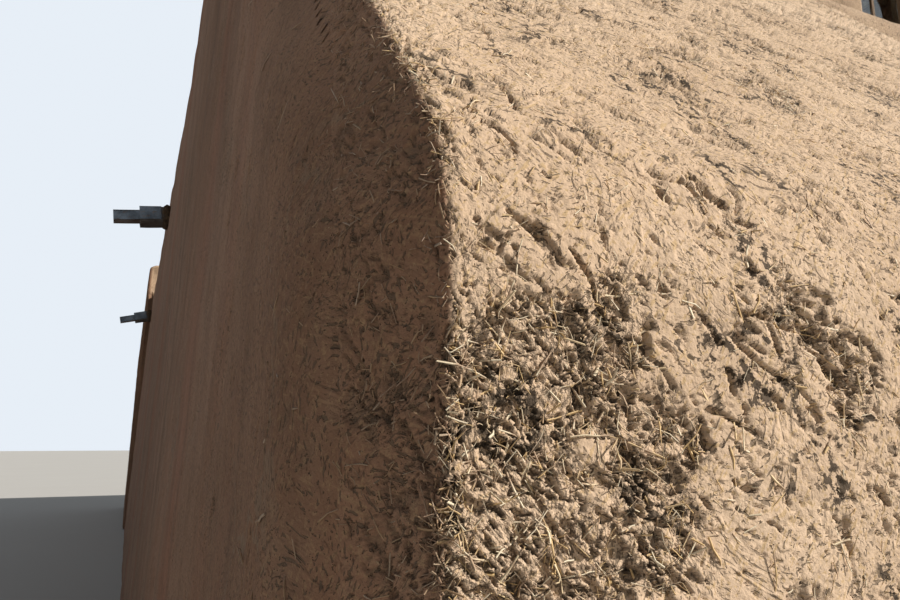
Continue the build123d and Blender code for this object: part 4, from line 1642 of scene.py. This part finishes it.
@dataclass
class LongWallSkin:
    """Plaster of the long left wall and its parapet, finer towards the lens.

    Attributes:
        form: smooth outline of the left front.
        view: the photograph's view.
        near: spacing of its upright lines beside the lens.
        growth: how much wider each space is than the last.
        rise: spacing up the wall.
        corner_gap: how far the skin stays behind the parapet's front end.
    """

    form: HouseForm
    view: PhotoView
    near: float = 0.006
    growth: float = 1.0095
    rise: float = 0.024
    corner_gap: float = 0.17

    def grid(self) -> tuple[Array, int, int]:
        """Points of the smooth wall, from the buttress's edge to the rear room, and over the parapet.

        Returns:
            The points, and the grid's rows and columns.
        """
        form = self.form
        start, stop = form.foot + 0.06, corner("left_wall", True).y - 0.005
        places, space = [start], self.near
        while places[-1] < stop:
            places.append(places[-1] + space)
            space *= self.growth
        along = np.array(places)
        along = start + (along - start) * (stop - start) / (along[-1] - start)
        over = form.parapet + np.linspace(0, form.parapet_thick * 0.8, 12)
        up = np.concatenate([np.arange(0, form.parapet, self.rise), over])
        level = np.minimum(up, form.parapet)
        inward = np.maximum(up - form.parapet, 0)
        points = np.empty((len(up), len(along), 3))
        points[..., 0] = (form.left + level * form.batter + inward)[:, None]
        points[..., 1] = along[None, :]
        points[..., 2] = level[:, None]
        return points.reshape(-1, 3), len(up), len(along)

    def past_corner(self, points: Array) -> Array:
        """How far points lie behind the front end of the skin over the parapet."""
        return points[:, 1] - self.form.front - points[:, 2] * self.form.batter - self.corner_gap

    def build(self, palette: Palette) -> None:
        """Makes the skin.

        Args:
            palette: the finishes.
        """
        form = self.form
        points, rows, columns = self.grid()
        keep = (form.slope_face(points) < -0.02) | (self.past_corner(points) > 0)
        settled = form.settle(points, 6)
        normals = form.normals(settled)
        fine, bare, deep = RELIEF.fine(settled, 0.0, 0.0)
        # Painted shade: the wall behind the buttress's foot is evenly darkened, as it lies less lit.
        deep = np.clip(deep + 0.26 * ramp(settled[:, 1], -8.0, -7.75), 0, 1)
        strength = 0.45 + 0.25 * ramp(-settled[:, 1], -form.foot - 2.5, -form.foot)
        height = RELIEF.broad(settled) + fine * strength - 0.004 * self.view.seen(settled)
        height = height + np.clip(settled[:, 1] - form.foot - 0.3, -0.1, 0) * 0.05
        above = ramp(form.slope_face(settled), -0.05, 0.05)
        height = height - 0.06 * ramp(self.past_corner(settled), 0.14, 0.0) * above
        moved = settled + normals * height[:, None]
        moved[:, 2] = np.maximum(moved[:, 2], 0.0)
        faces, used = grid_faces(rows, columns, keep)
        moved, normals = moved[used], normals[used]
        piece = mesh_object("long_wall_plaster", moved, faces_outward(moved, faces, normals))
        # Painted shade: the side value marks faces turned away from the key light for the shade-side tones.
        side = ramp(-normals[:, 0], 0.30, 0.56)
        point_values(piece, bare=bare[used] * 0.6, deep=deep[used] * 0.7, side=side)
        palette.seat(piece, Finish.BUTTRESS, slot="adobe_plaster")


# Timber, drains and roofs


def uneven(made: bmesh.types.BMesh, noise: Noise, scale: float, wobble: float) -> None:
    """Shifts a mesh's points to and fro.

    Args:
        made: the mesh in the making.
        noise: the pattern of the shifts.
        scale: bumps on a metre.
        wobble: how far points are shifted.
    """
    places = np.array([vert.co for vert in made.verts])
    shift = np.stack([noise.smooth(places * scale + 31 * axis) for axis in range(3)], axis=1) * wobble
    for vert, move in zip(made.verts, shift):
        vert.co += Vector(move)


def wear_edges(made: bmesh.types.BMesh, edge: float, clamp: bool = False) -> None:
    """Bevels a mesh's sharp edges.

    Args:
        made: the mesh in the making.
        edge: width of the worn edges.
        clamp: whether close edges are held apart.
    """
    sharp = [line for line in made.edges if line.calc_face_angle(0) > 0.6]
    bmesh.ops.bevel(
        made, geom=sharp, offset=edge, segments=2, affect="EDGES", profile=0.6, clamp_overlap=clamp
    )


class Maker:
    """Collects worn boards and bent sheets in one mesh."""

    def __init__(self, seed: int, placing: Matrix | None = None) -> None:
        """Starts an empty mesh.

        Args:
            seed: picks the unevenness of the boards.
            placing: carries the finished mesh to its place in the house.
        """
        self.mesh = bmesh.new()
        self.noise = Noise(seed)
        self.placing = placing or Matrix.Identity(4)

    def board(self, low: Sequence[float], high: Sequence[float], edge: float, wobble: float = 0.0) -> None:
        """Adds a board between two corners.

        Args:
            low: its lowest corner.
            high: its highest corner.
            edge: width of its worn edges.
            wobble: how uneven its faces are.
        """
        made = bmesh.new()
        bmesh.ops.create_cube(made, size=1.0)
        low, high = Vector(low), Vector(high)
        size = high - low
        for vert in made.verts:
            vert.co = Vector([low[axis] + (vert.co[axis] + 0.5) * size[axis] for axis in range(3)])
        if wobble:
            long_edges = [line for line in made.edges if line.calc_length() > 0.9 * max(size)]
            bmesh.ops.subdivide_edges(made, edges=long_edges, cuts=8, use_grid_fill=True)
            uneven(made, self.noise, 6, wobble)
        wear_edges(made, edge)
        held = bpy.data.meshes.new("board")
        made.to_mesh(held)
        made.free()
        self.mesh.from_mesh(held)
        bpy.data.meshes.remove(held)

    def pair(self, x: Span, y: Span, z: Span, edge: float, wobble: float) -> None:
        """Adds the same board on both sides of the middle plane.

        Args:
            x: where the boards start and end.
            y: their faces, measured from the middle plane.
            z: their underside and top.
            edge: width of their worn edges.
            wobble: how uneven their faces are.
        """
        for side in (-1, 1):
            inner, outer = sorted((side * y[0], side * y[1]))
            self.board((x[0], inner, z[0]), (x[1], outer, z[1]), edge, wobble)

    def finish(self, name: str) -> bpy.types.Object:
        """Ends the mesh as an object.

        Args:
            name: the piece's name.

        Returns:
            The piece.
        """
        self.mesh.transform(self.placing)
        bmesh.ops.recalc_face_normals(self.mesh, faces=self.mesh.faces)
        return ended(self.mesh, name, False)


def hewn_copy(node: str, edge: float, wobble: float) -> bpy.types.Object:
    """Copies a CAD node with worn edges and hand-cut faces.

    Args:
        node: the CAD node.
        edge: width of the worn edges.
        wobble: how uneven the faces are.

    Returns:
        The piece.
    """
    made = merged(node)
    bmesh.ops.dissolve_limit(made, angle_limit=0.01, verts=made.verts, edges=made.edges)
    wear_edges(made, edge, True)
    uneven(made, Noise(61), 7, wobble)
    bmesh.ops.recalc_face_normals(made, faces=made.faces)
    return ended(made, f"{node}_worn")


@dataclass
class RoofDrain:
    """One roof drain: a board trough with sheet on its cheeks, a folded spout and a mud collar.

    Attributes:
        trough_node: the CAD trough.
        spout_node: the CAD spout.
        tilt: how steeply it falls outwards, in degrees.
        level: height of its underside at the wall's face.
        face: where the wall's face is.
        reach: how far the trough stands out of the wall.
        width: its width.
        height: its height.
        board: thickness of its boards.
        spout_reach: how far the spout's end stands out of the wall.
        spout_width: the spout's width.
        spout_height: the spout's height.
        inside: how far the trough runs into the wall.
        lap: how far the spout lies in the trough.
        sheet_start: where the sheet on the cheeks starts, outside the wall.
    """

    trough_node: str
    spout_node: str
    tilt: float
    level: float
    face: float
    reach: float = 0.26
    width: float = 0.25
    height: float = 0.16
    board: float = 0.030
    spout_reach: float = 0.508
    spout_width: float = 0.17
    spout_height: float = 0.095
    inside: float = 0.40
    lap: float = 0.33
    sheet_start: float = 0.055

    def placing(self) -> Matrix:
        """Carries the drain, drawn along +X from the wall, to its place."""
        low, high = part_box(self.trough_node)
        turn = Matrix.Rotation(math.pi, 4, "Z") if self.face < 0 else Matrix.Identity(4)
        fall = Matrix.Rotation(math.radians(self.tilt), 4, "Y")
        return Matrix.Translation((self.face, (low.y + high.y) / 2, self.level)) @ turn @ fall

    def build(self, palette: Palette) -> None:
        """Makes the trough, the sheet, the collar and the spout.

        Args:
            palette: the finishes.
        """
        trough = self.trough().finish(self.trough_node.replace("drain", "trough"))
        palette.seat(trough, Finish.DRAIN, self.trough_node)
        palette.seat(self.cheeks().finish(self.trough_node.replace("drain", "cheeks")), Finish.SHEET)
        palette.seat(self.collar(), Finish.COLLAR, slot="adobe_plaster")
        palette.seat(self.spout().finish(self.spout_node), Finish.SHEET, self.spout_node)

    def trough(self) -> Maker:
        """Boards of the trough.

        Returns:
            The boards, not yet ended.
        """
        half, wood = self.width / 2, Maker(71, self.placing())
        wood.board((-self.inside, -half, 0), (self.reach, half, self.board), 0.005, 0.006)
        upright = (self.board + 0.001, self.height)
        wood.pair((-self.inside, self.reach - 0.004), (half, half - self.board), upright, 0.005, 0.006)
        return wood

    def cheeks(self) -> Maker:
        """Sheet on the trough's cheeks, with a cap over their tops.

        Returns:
            The sheets, not yet ended.
        """
        half, metal, along = self.width / 2, Maker(72, self.placing()), (self.sheet_start, self.reach + 0.002)
        metal.pair(along, (half + 0.001, half + 0.0035), (0.028, self.height + 0.003), 0.001, 0.003)
        cap = (half + 0.0035, half - self.board - 0.004)
        metal.pair(along, cap, (self.height + 0.001, self.height + 0.0035), 0.001, 0.002)
        return metal

    def spout(self) -> Maker:
        """Folded spout with rolled rims.

        Returns:
            The sheets, not yet ended.
        """
        folded, along = Maker(73, self.placing()), (self.reach - self.lap, self.spout_reach)
        floor, wide, sheet = self.board + 0.003, self.spout_width / 2, 0.004
        rim = floor + self.spout_height
        folded.board((along[0], -wide, floor), (along[1], wide, floor + sheet), 0.0012, 0.003)
        folded.pair(along, (wide, wide - sheet), (floor, rim), 0.0012, 0.003)
        folded.pair(along, (wide + 0.004, wide - 0.008), (rim - 0.004, rim + 0.005), 0.003, 0.002)
        return folded

    def collar(self) -> bpy.types.Object:
        """Makes the mud collar round the trough where it leaves the wall, near black as painted shade.

        Returns:
            The piece.
        """
        made = bmesh.new()
        bmesh.ops.create_icosphere(made, subdivisions=4, radius=1.0)
        noise = Noise(74)
        places = np.array([vert.co for vert in made.verts])
        swell = 1 + 0.16 * noise.smooth(places * 2.3) + 0.08 * noise.smooth(places * 6.0)
        for vert, grow in zip(made.verts, swell):
            square = max(abs(vert.co.y), abs(vert.co.z)) / max(math.hypot(vert.co.y, vert.co.z), 1e-6)
            grow_square = grow / max(square, 0.72) * 0.98
            across = vert.co.y * (self.width / 2 + 0.022) * grow_square
            up = self.height / 2 + vert.co.z * (self.height / 2 + 0.020) * grow_square
            vert.co = Vector((vert.co.x * 0.075 * grow, across, up))
        made.transform(self.placing())
        return ended(made, self.trough_node.replace("drain", "collar"), True)


@dataclass
class Drains:
    """The four roof drains, each with its own fall.

    Attributes:
        falls: fall of each drain in degrees, by the names of its trough and spout.
    """

    falls: tuple[tuple[str, str, float], ...] = (
        ("left_drain_front", "left_spout_front", 6.2),
        ("left_drain_rear", "left_spout_rear", 13.0),
        ("right_rear_drain", "right_rear_spout", 4.0),
        ("rear_room_drain", "rear_room_spout", 3.0),
    )

    def build(self, palette: Palette) -> None:
        """Makes the drains.

        Args:
            palette: the finishes.
        """
        first = corner("left_drain_front")
        for trough, spout, fall in self.falls:
            low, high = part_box(trough)
            level = low.z if trough == "rear_room_drain" else first.z
            face = first.x + RoofDrain.reach if low.x < 0 else high.x - RoofDrain.reach
            RoofDrain(trough, spout, fall, level, face).build(palette)


@dataclass
class Joinery:
    """Frames, lintels and plank doors.

    Attributes:
        plank: usual width of a door plank.
        gap: gap between planks.
        thick: thickness of a plank.
        batten: thickness of a batten.
        rails: heights of the battens, as shares of the door's height.
        openings: names of the doorways and windows.
    """

    plank: float = 0.165
    gap: float = 0.004
    thick: float = 0.045
    batten: float = 0.028
    rails: tuple[float, ...] = (0.2, 0.75)
    openings: tuple[str, ...] = (
        "front_door", "front_window", "rear_room_door", "rear_room_window",
        "right_front_window", "right_rear_window", "upper_door", "upper_window",
    )

    def build(self, palette: Palette) -> None:
        """Makes all the joinery.

        Args:
            palette: the finishes.
        """
        for kind, finish, edge, wobble in (
            ("frame", Finish.JOINERY, 0.006, 0.003),
            ("lintel", Finish.LINTEL, 0.014, 0.008),
        ):
            for opening in self.openings:
                node = f"{opening}_{kind}"
                palette.seat(hewn_copy(node, edge, wobble), finish, node)
        for node in ("rear_room_door", "upper_door"):
            palette.seat(self.planks(node), Finish.JOINERY, node)
            palette.seat(self.nails(node), Finish.SHEET)

    def measures(self, node: str) -> tuple[float, int, int, float]:
        """Measures of a door.

        Args:
            node: the CAD door.

        Returns:
            Place of its outer face, the way that it faces, its count of planks, and their spacing.
        """
        low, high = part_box(node)
        outward = 1 if low.x > 0 else -1
        count = max(3, round((high.y - low.y) / self.plank))
        return high.x if outward > 0 else low.x, outward, count, (high.y - low.y) / count

    def planks(self, node: str) -> bpy.types.Object:
        """Makes a door's planks, and the battens behind them.

        Args:
            node: the CAD door.

        Returns:
            The piece.
        """
        low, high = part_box(node)
        outer, outward, count, step = self.measures(node)
        front, back = sorted((outer, outer - outward * self.thick))
        door = Maker(81)
        for number in range(count):
            start = low.y + number * step + self.gap / 2
            door.board((front, start, low.z), (back, start + step - self.gap, high.z), 0.004, 0.004)
        behind = (outer - outward * (self.thick - 0.002), outer - outward * (self.thick + self.batten))
        for share in self.rails:
            rail = low.z + share * (high.z - low.z)
            ends = (low.y + 0.06, rail), (high.y - 0.06, rail + 0.12)
            door.board((min(behind), *ends[0]), (max(behind), *ends[1]), 0.006, 0.003)
        return door.finish(f"{node}_planks")

    def nails(self, node: str) -> bpy.types.Object:
        """Makes the nail heads on a door's outer face.

        Args:
            node: the CAD door.

        Returns:
            The piece.
        """
        low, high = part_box(node)
        outer, outward, count, step = self.measures(node)
        head = sorted((outer - outward * 0.001, outer + outward * 0.003))
        nails = Maker(82)
        for number in range(count):
            for share in self.rails:
                for across, up in ((0.3, 0.035), (0.7, 0.085)):
                    y, z = low.y + (number + across) * step, low.z + share * (high.z - low.z) + up
                    nails.board((head[0], y - 0.007, z - 0.007), (head[1], y + 0.007, z + 0.007), 0.003)
        return nails.finish(f"{node}_nails")


class RepeatTree(GroupTree):
    """A geometry tree with named inputs that makes plain meshes of things that repeat."""

    def __init__(self, name: str, inputs: dict[str, str]) -> None:
        """Starts the tree.

        Args:
            name: the tree's name.
            inputs: names of its own inputs with their socket types.
        """
        held = inputs | {"Material": "Material"}
        super().__init__(name, "GeometryNodeTree", held, {"Geometry": "Geometry"})

    def bend_and_paint(self, laid: Socket, scale: float, detail: float, reach: Socket) -> None:
        """Ends the tree: makes the repeats real, bends them and gives them the material.

        Args:
            laid: the instances.
            scale: scale of the bends.
            detail: detail of the bends.
            reach: how far the bends go along each axis.
        """
        real = self.add("GeometryNodeRealizeInstances", in_Geometry=laid)
        place = self.add("GeometryNodeInputPosition").outputs[0]
        wave = self.add("ShaderNodeTexNoise", in_Vector=place, in_Scale=scale, in_Detail=detail)
        centred = self.add(
            "ShaderNodeVectorMath", operation="SUBTRACT", in_0=wave.outputs["Color"], in_1=(0.5, 0.5, 0.5)
        )
        sway = self.add("ShaderNodeVectorMath", operation="MULTIPLY", in_0=centred.outputs[0], in_1=reach)
        bent = self.add("GeometryNodeSetPosition", in_Geometry=real.outputs[0], in_Offset=sway.outputs[0])
        painted = self.add(
            "GeometryNodeSetMaterial", in_Geometry=bent.outputs[0], in_Material=self.source["Material"]
        )
        self.feed(self.result["Geometry"], painted.outputs[0])

    def run(
        self, name: str, start: bpy.types.Mesh, values: dict[str, object], keep_values: bool = False
    ) -> bpy.types.Mesh:
        """Runs the tree.

        Args:
            name: name of the mesh that it makes.
            start: the mesh that it starts from.
            values: the tree's inputs.
            keep_values: whether the mesh's named values are kept.

        Returns:
            The plain mesh.
        """
        carrier = linked(f"{name}_carrier", start)
        modifier = carrier.modifiers.new("repeat", "NODES")
        modifier.node_group = self.tree
        for title, value in values.items():
            modifier[self.inputs[title]] = value
        mesh = plain_mesh(carrier, keep_values)
        mesh.name = name
        return mesh


class RoundTimbers(RepeatTree):
    """Rows of peeled logs and of poles, each row made by one tree."""

    LOG_COUNTS = {"roof_logs": 16, "rear_roof_logs": 5, "upper_roof_logs": 5}
    DECKS = ("roof_deck", "rear_roof_deck", "upper_roof_deck")

    def __init__(self) -> None:
        """Builds the tree once."""
        floats = {title: "Float" for title in ("Step", "Length", "Radius", "Wobble")}
        super().__init__("round_timber_row", {"Count": "Int", "Sides": "Int", "Pieces": "Int"} | floats)
        offset = self.add("ShaderNodeCombineXYZ", in_Y=self.source["Step"])
        row = self.add(
            "GeometryNodeMeshLine", mode="OFFSET", in_Count=self.source["Count"], in_Offset=offset.outputs[0]
        )
        log = self.add("GeometryNodeMeshCylinder", fill_type="NGON")
        for key, title in (
            ("Vertices", "Sides"), ("Side Segments", "Pieces"), ("Radius", "Radius"), ("Depth", "Length")
        ):
            self.feed(log.inputs[key], self.source[title])
        lie = self.add(
            "GeometryNodeTransform", in_Geometry=log.outputs["Mesh"], in_Rotation=(0.0, math.pi / 2, 0.0)
        )
        laid = self.add("GeometryNodeInstanceOnPoints", in_Points=row.outputs[0], in_Instance=lie.outputs[0])
        wobble = self.source["Wobble"]
        spread = self.add("ShaderNodeCombineXYZ", in_X=0.0, in_Y=wobble, in_Z=wobble)
        self.bend_and_paint(laid.outputs[0], 1.3, 4.0, spread.outputs[0])

    def row(self, name: str, values: dict[str, object], placing: Matrix) -> bpy.types.Object:
        """Makes one row as a plain mesh.

        Args:
            name: the piece's name.
            values: the tree's inputs.
            placing: carries the row, drawn along Y with timbers along X, to its place.

        Returns:
            The piece.
        """
        mesh = self.run(name, bpy.data.meshes.new(f"{name}_carrier"), values)
        mesh.transform(placing)
        piece = linked(name, mesh, True)
        mesh.set_sharp_from_angle(angle=math.radians(50))
        return piece

    def build(self, palette: Palette) -> None:
        """Makes the logs and the pole decks of the three roofs.

        Args:
            palette: the finishes.
        """
        logs = {"Sides": 14, "Pieces": 22, "Wobble": 0.016, "Material": palette.made[Finish.LOGS]}
        poles = {"Sides": 6, "Pieces": 4, "Wobble": 0.008, "Material": palette.made[Finish.DECK]}
        for node, count in self.LOG_COUNTS.items():
            low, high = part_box(node)
            radius = (high.z - low.z) / 2
            step = (high.y - low.y - 2 * radius) / (count - 1)
            logs |= {"Count": count, "Step": step, "Length": high.x - low.x, "Radius": radius * 0.96}
            middle = Vector(((low.x + high.x) / 2, low.y + radius, (low.z + high.z) / 2))
            palette.seat(self.row(f"{node}_peeled", logs, Matrix.Translation(middle)), Finish.LOGS, node)
        for node in self.DECKS:
            low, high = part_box(node)
            radius = (high.z - low.z) / 2
            count = int((high.x - low.x) / (2 * radius))
            step = (high.x - low.x - 2 * radius) / (count - 1)
            poles |= {"Count": count, "Step": step, "Length": high.y - low.y, "Radius": radius}
            start = Vector((high.x - radius, (low.y + high.y) / 2, low.z + radius))
            quarter = Matrix.Translation(start) @ Matrix.Rotation(math.pi / 2, 4, "Z")
            palette.seat(self.row(f"{node}_poles", poles, quarter), Finish.DECK, node)


@dataclass
class RoofEarth:
    """Packed earth of the three roofs, uneven and coved up against the walls.

    Attributes:
        voxel: size of the mesh's squares.
        swell: how uneven the earth lies.
        cove: how far it climbs at the walls.
    """

    voxel: float = 0.115
    swell: float = 0.016
    cove: float = 0.05

    def build(self, palette: Palette) -> None:
        """Makes the three earth layers.

        Args:
            palette: the finishes.
        """
        for node in ("roof_earth", "rear_roof_earth", "upper_roof_earth"):
            piece = linked(f"{node}_packed", voxel_body((node,), self.voxel), True)
            self.uneven(piece, node)
            palette.seat(piece, Finish.ROOF, node)

    def uneven(self, piece: bpy.types.Object, node: str) -> None:
        """Lays the top unevenly and lifts it along the roof's edges.

        Args:
            piece: the earth layer.
            node: the CAD node that it stands for.
        """
        low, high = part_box(node)
        points = vertex_rows(piece.data).astype(float)
        top = ramp(points[:, 2], high.z - 0.09, high.z - 0.03)
        rim = np.minimum.reduce(
            [points[:, 0] - low.x, high.x - points[:, 0], points[:, 1] - low.y, high.y - points[:, 1]]
        )
        rise = RELIEF.form.layered(points, 0.9, 3) * self.swell + self.cove * ramp(rim, 0.22, 0.02)
        points[:, 2] += top * rise
        piece.data.vertices.foreach_set("co", points.astype(np.float32).ravel())
        piece.data.update()
        point_values(piece, bare=0.4 * RELIEF.roughness(points), deep=np.zeros(len(points)))


# Straw


@dataclass(frozen=True)
class StrawLay:
    """One lay of straw on a skin of plaster.

    Attributes:
        skin: name of the skin.
        name: the piece's name.
        density: stalks on a square metre where the straw lies barest.
        shortest: shortest stalk in metres.
        longest: longest stalk in metres.
        thickness: thickness of a stalk in metres.
        lift: how steeply stalks may stand up, in radians.
        seed: picks the lay.
        weight: name of the mesh value that thins the straw out.
        bend: how far stalks bend, in metres.
    """

    skin: str
    name: str
    density: float
    shortest: float
    longest: float
    thickness: float
    lift: float
    seed: int
    weight: str = "straw"
    bend: float = 0.003


class StrawScatter(RepeatTree):
    """Scatters straw on a skin by one geometry tree."""

    NUMBERS = ("Shortest", "Longest", "Thickness", "Lift", "Bend", "Density")
    LEFT, RIGHT = "buttress_close_plaster_left", "buttress_close_plaster_right"
    LAYS = (
        StrawLay(LEFT, "straw_left", 5600, 0.007, 0.038, 0.0019, 0.34, 5),
        StrawLay(LEFT, "fibres_left", 15000, 0.006, 0.030, 0.0010, 0.30, 6),
        StrawLay(LEFT, "fringe_left", 30000, 0.007, 0.030, 0.0013, 1.00, 7, "fringe"),
        StrawLay(RIGHT, "straw_right", 5400, 0.007, 0.038, 0.0019, 0.34, 8),
        StrawLay(RIGHT, "fibres_right", 13000, 0.006, 0.030, 0.0010, 0.30, 9),
        StrawLay("buttress_plaster", "straw_wide", 2600, 0.012, 0.060, 0.0024, 0.32, 10),
    )

    def __init__(self) -> None:
        """Builds the tree once."""
        inputs = {"Geometry": "Geometry"} | {title: "Float" for title in self.NUMBERS}
        super().__init__("straw_scatter", inputs | {"Seed": "Int", "Weight": "String"})
        source = self.source
        worn = self.add("GeometryNodeInputNamedAttribute", data_type="FLOAT", in_Name=source["Weight"])
        side = self.add("GeometryNodeInputNamedAttribute", data_type="FLOAT", in_Name="side")
        scatter = self.add("GeometryNodeDistributePointsOnFaces", distribute_method="RANDOM")
        self.feed(scatter.inputs["Mesh"], source["Geometry"])
        self.feed(scatter.inputs["Density"], self.times(source["Density"], worn.outputs["Attribute"]))
        self.feed(scatter.inputs["Seed"], source["Seed"])
        rise = self._random(self.times(source["Lift"], -0.5), source["Lift"], 5)
        turn = self.add("ShaderNodeCombineXYZ", in_X=0.0, in_Y=rise, in_Z=self._random(0.0, math.tau, 3))
        spun = self.add("FunctionNodeEulerToRotation", in_0=turn.outputs[0])
        facing = self.add("FunctionNodeRotateRotation", rotation_space="LOCAL", in_1=spun.outputs[0])
        self.feed(facing.inputs[0], scatter.outputs["Rotation"])
        share = self._random(0.0, 1.0, 7)
        spread = self.times(self.times(share, share), self.less(source["Longest"], source["Shortest"]))
        width = self.times(source["Thickness"], self._random(0.45, 1.25, 11))
        length = self.plus(source["Shortest"], spread)
        size = self.add("ShaderNodeCombineXYZ", in_X=length, in_Y=width, in_Z=self.times(width, 0.7))
        laid = self.add(
            "GeometryNodeInstanceOnPoints",
            in_Points=scatter.outputs["Points"],
            in_Instance=self._stalk(),
            in_Rotation=facing.outputs[0],
            in_Scale=size.outputs[0],
        ).outputs[0]
        # Each stalk keeps its skin's side value, which paints shade on stalks turned away from the key light.
        for title, number in (("tone", self._random(0.0, 1.0, 13)), ("side", side.outputs["Attribute"])):
            keep = self.add("GeometryNodeStoreNamedAttribute", data_type="FLOAT", domain="INSTANCE")
            for key, value in (("Geometry", laid), ("Name", title), ("Value", number)):
                self.feed(keep.inputs[key], value)
            laid = keep.outputs[0]
        bend = self.times(source["Bend"], 4.0)
        reach = self.add("ShaderNodeCombineXYZ", in_X=bend, in_Y=bend, in_Z=bend)
        self.bend_and_paint(laid, 45.0, 1.0, reach.outputs[0])

    def _random(self, low: object, high: object, shift: int) -> Socket:
        """Random number for each stalk.

        Args:
            low: least value.
            high: largest value.
            shift: moves the seed, so that each use draws its own numbers.

        Returns:
            The number.
        """
        seed = self.plus(self.source["Seed"], float(shift))
        node = self.add("FunctionNodeRandomValue", data_type="FLOAT", in_2=low, in_3=high, in_Seed=seed)
        return node.outputs[1]

    def _stalk(self) -> Socket:
        """One stalk of unit length and thickness along X.

        Returns:
            Its mesh.
        """
        line = self.add("GeometryNodeCurvePrimitiveLine", in_Start=(-0.5, 0, 0), in_End=(0.5, 0, 0))
        runs = self.add("GeometryNodeResampleCurve", in_Curve=line.outputs[0], in_Count=4)
        ring = self.add("GeometryNodeCurvePrimitiveCircle", in_Resolution=3, in_Radius=0.5)
        tube = self.add(
            "GeometryNodeCurveToMesh",
            in_Curve=runs.outputs[0],
            in_Profile_Curve=ring.outputs[0],
            in_Fill_Caps=True,
        )
        return tube.outputs[0]

    def build(self, skins: dict[str, bpy.types.Object], palette: Palette) -> None:
        """Scatters all the lays.

        Args:
            skins: the plasters by their names, with their mesh values.
            palette: the finishes.
        """
        for lay in self.LAYS:
            values = {title: getattr(lay, title.lower()) for title in (*self.NUMBERS, "Seed", "Weight")}
            values["Material"] = palette.made[Finish.STRAW]
            mesh = self.run(lay.name, skins[lay.skin].data, values, True)
            places = np.clip(vertex_rows(mesh), CAD_BOX[0], CAD_BOX[1]).astype(np.float32)
            mesh.vertices.foreach_set("co", places.ravel())
            palette.seat(linked(lay.name, mesh, True), Finish.STRAW, slot="straw_plaster")


# Light, floor and the making of it all


@dataclass
class Studio:
    """Plain pale floor and backdrop with a high key light from the right.

    Attributes:
        key: direction towards the key light.
        key_strength: strength of the key light.
        fill: brightness of the world for surfaces.
        backdrop: colour that the lens sees behind the house.
        half: half the width of the floor.
    """

    key: Triple = (0.68, -0.49, 0.54)
    key_strength: float = 4.95
    fill: float = 0.16
    backdrop: Colour = (0.80, 0.86, 0.93)
    half: float = 120.0

    def build(self) -> None:
        """Adds the floor, the key light and the world."""
        self.floor()
        self.lamp()
        self.world()
        bpy.context.scene.view_settings.view_transform = "Standard"

    def floor(self) -> None:
        """Adds the pale floor."""
        points = np.array([[-1, -1, 0], [1, -1, 0], [1, 1, 0], [-1, 1, 0]]) * self.half
        points[:, 2] = CAD_BOX[0][2] - 0.002
        piece = mesh_object("studio_floor", points, np.array([[0, 1, 2, 3]]))
        build = MaterialTree("studio_floor")
        pale = build.mix(build.noise(build.place, 0.4, 3.0), (0.50, 0.485, 0.46), (0.54, 0.525, 0.50))
        build.surface(Base_Color=pale, Roughness=0.9)
        piece.data.materials.append(build.material)

    def lamp(self) -> None:
        """Adds the key light."""
        sun = bpy.data.lights.new("key_light", "SUN")
        sun.energy = self.key_strength
        sun.angle = math.radians(1.0)
        sun.color = (1.0, 0.95, 0.87)
        holder = bpy.data.objects.new("key_light", sun)
        holder.rotation_euler = Vector(self.key).to_track_quat("Z", "Y").to_euler()
        bpy.context.collection.objects.link(holder)

    def world(self) -> None:
        """Adds the even fill light and the pale backdrop that the lens sees."""
        world = bpy.data.worlds.new("studio")
        bpy.context.scene.world = world
        world.use_nodes = True
        build = Tree(world.node_tree)
        world.node_tree.nodes.clear()
        path = build.add("ShaderNodeLightPath").outputs
        seen = build.most([path[f"Is {kind} Ray"] for kind in ("Camera", "Glossy", "Transmission")])
        fill = build.add("ShaderNodeBackground", in_Color=(0.86, 0.93, 1.0), in_Strength=self.fill)
        backdrop = build.add("ShaderNodeBackground", in_Color=self.backdrop, in_Strength=1.0)
        choose = build.add("ShaderNodeMixShader", in_0=seen, in_1=fill.outputs[0], in_2=backdrop.outputs[0])
        build.add("ShaderNodeOutputWorld", in_Surface=choose.outputs[0])


def main() -> None:
    """Builds the house's looks in order and reports each piece."""
    logging.basicConfig(level=logging.INFO, format="%(message)s")
    palette = Palette()
    palette.repaint_solids()
    form = HouseForm()
    view = PhotoView(eye=(form.left - 0.03, form.foot - 0.38, 1.6))
    view.place()
    Studio().build()
    EarthShell(form).build(palette)
    buttress = ButtressSkin(form, view)
    skins = {piece.name: piece for piece in (buttress.middling(), *buttress.fine())}
    for piece in skins.values():
        palette.seat(piece, Finish.BUTTRESS)
    StrawScatter().build(skins, palette)
    for sub_assembly in (Drains(), Joinery(), RoundTimbers(), RoofEarth(), LongWallSkin(form, view)):
        sub_assembly.build(palette)


if __name__ == "__main__":
    main()
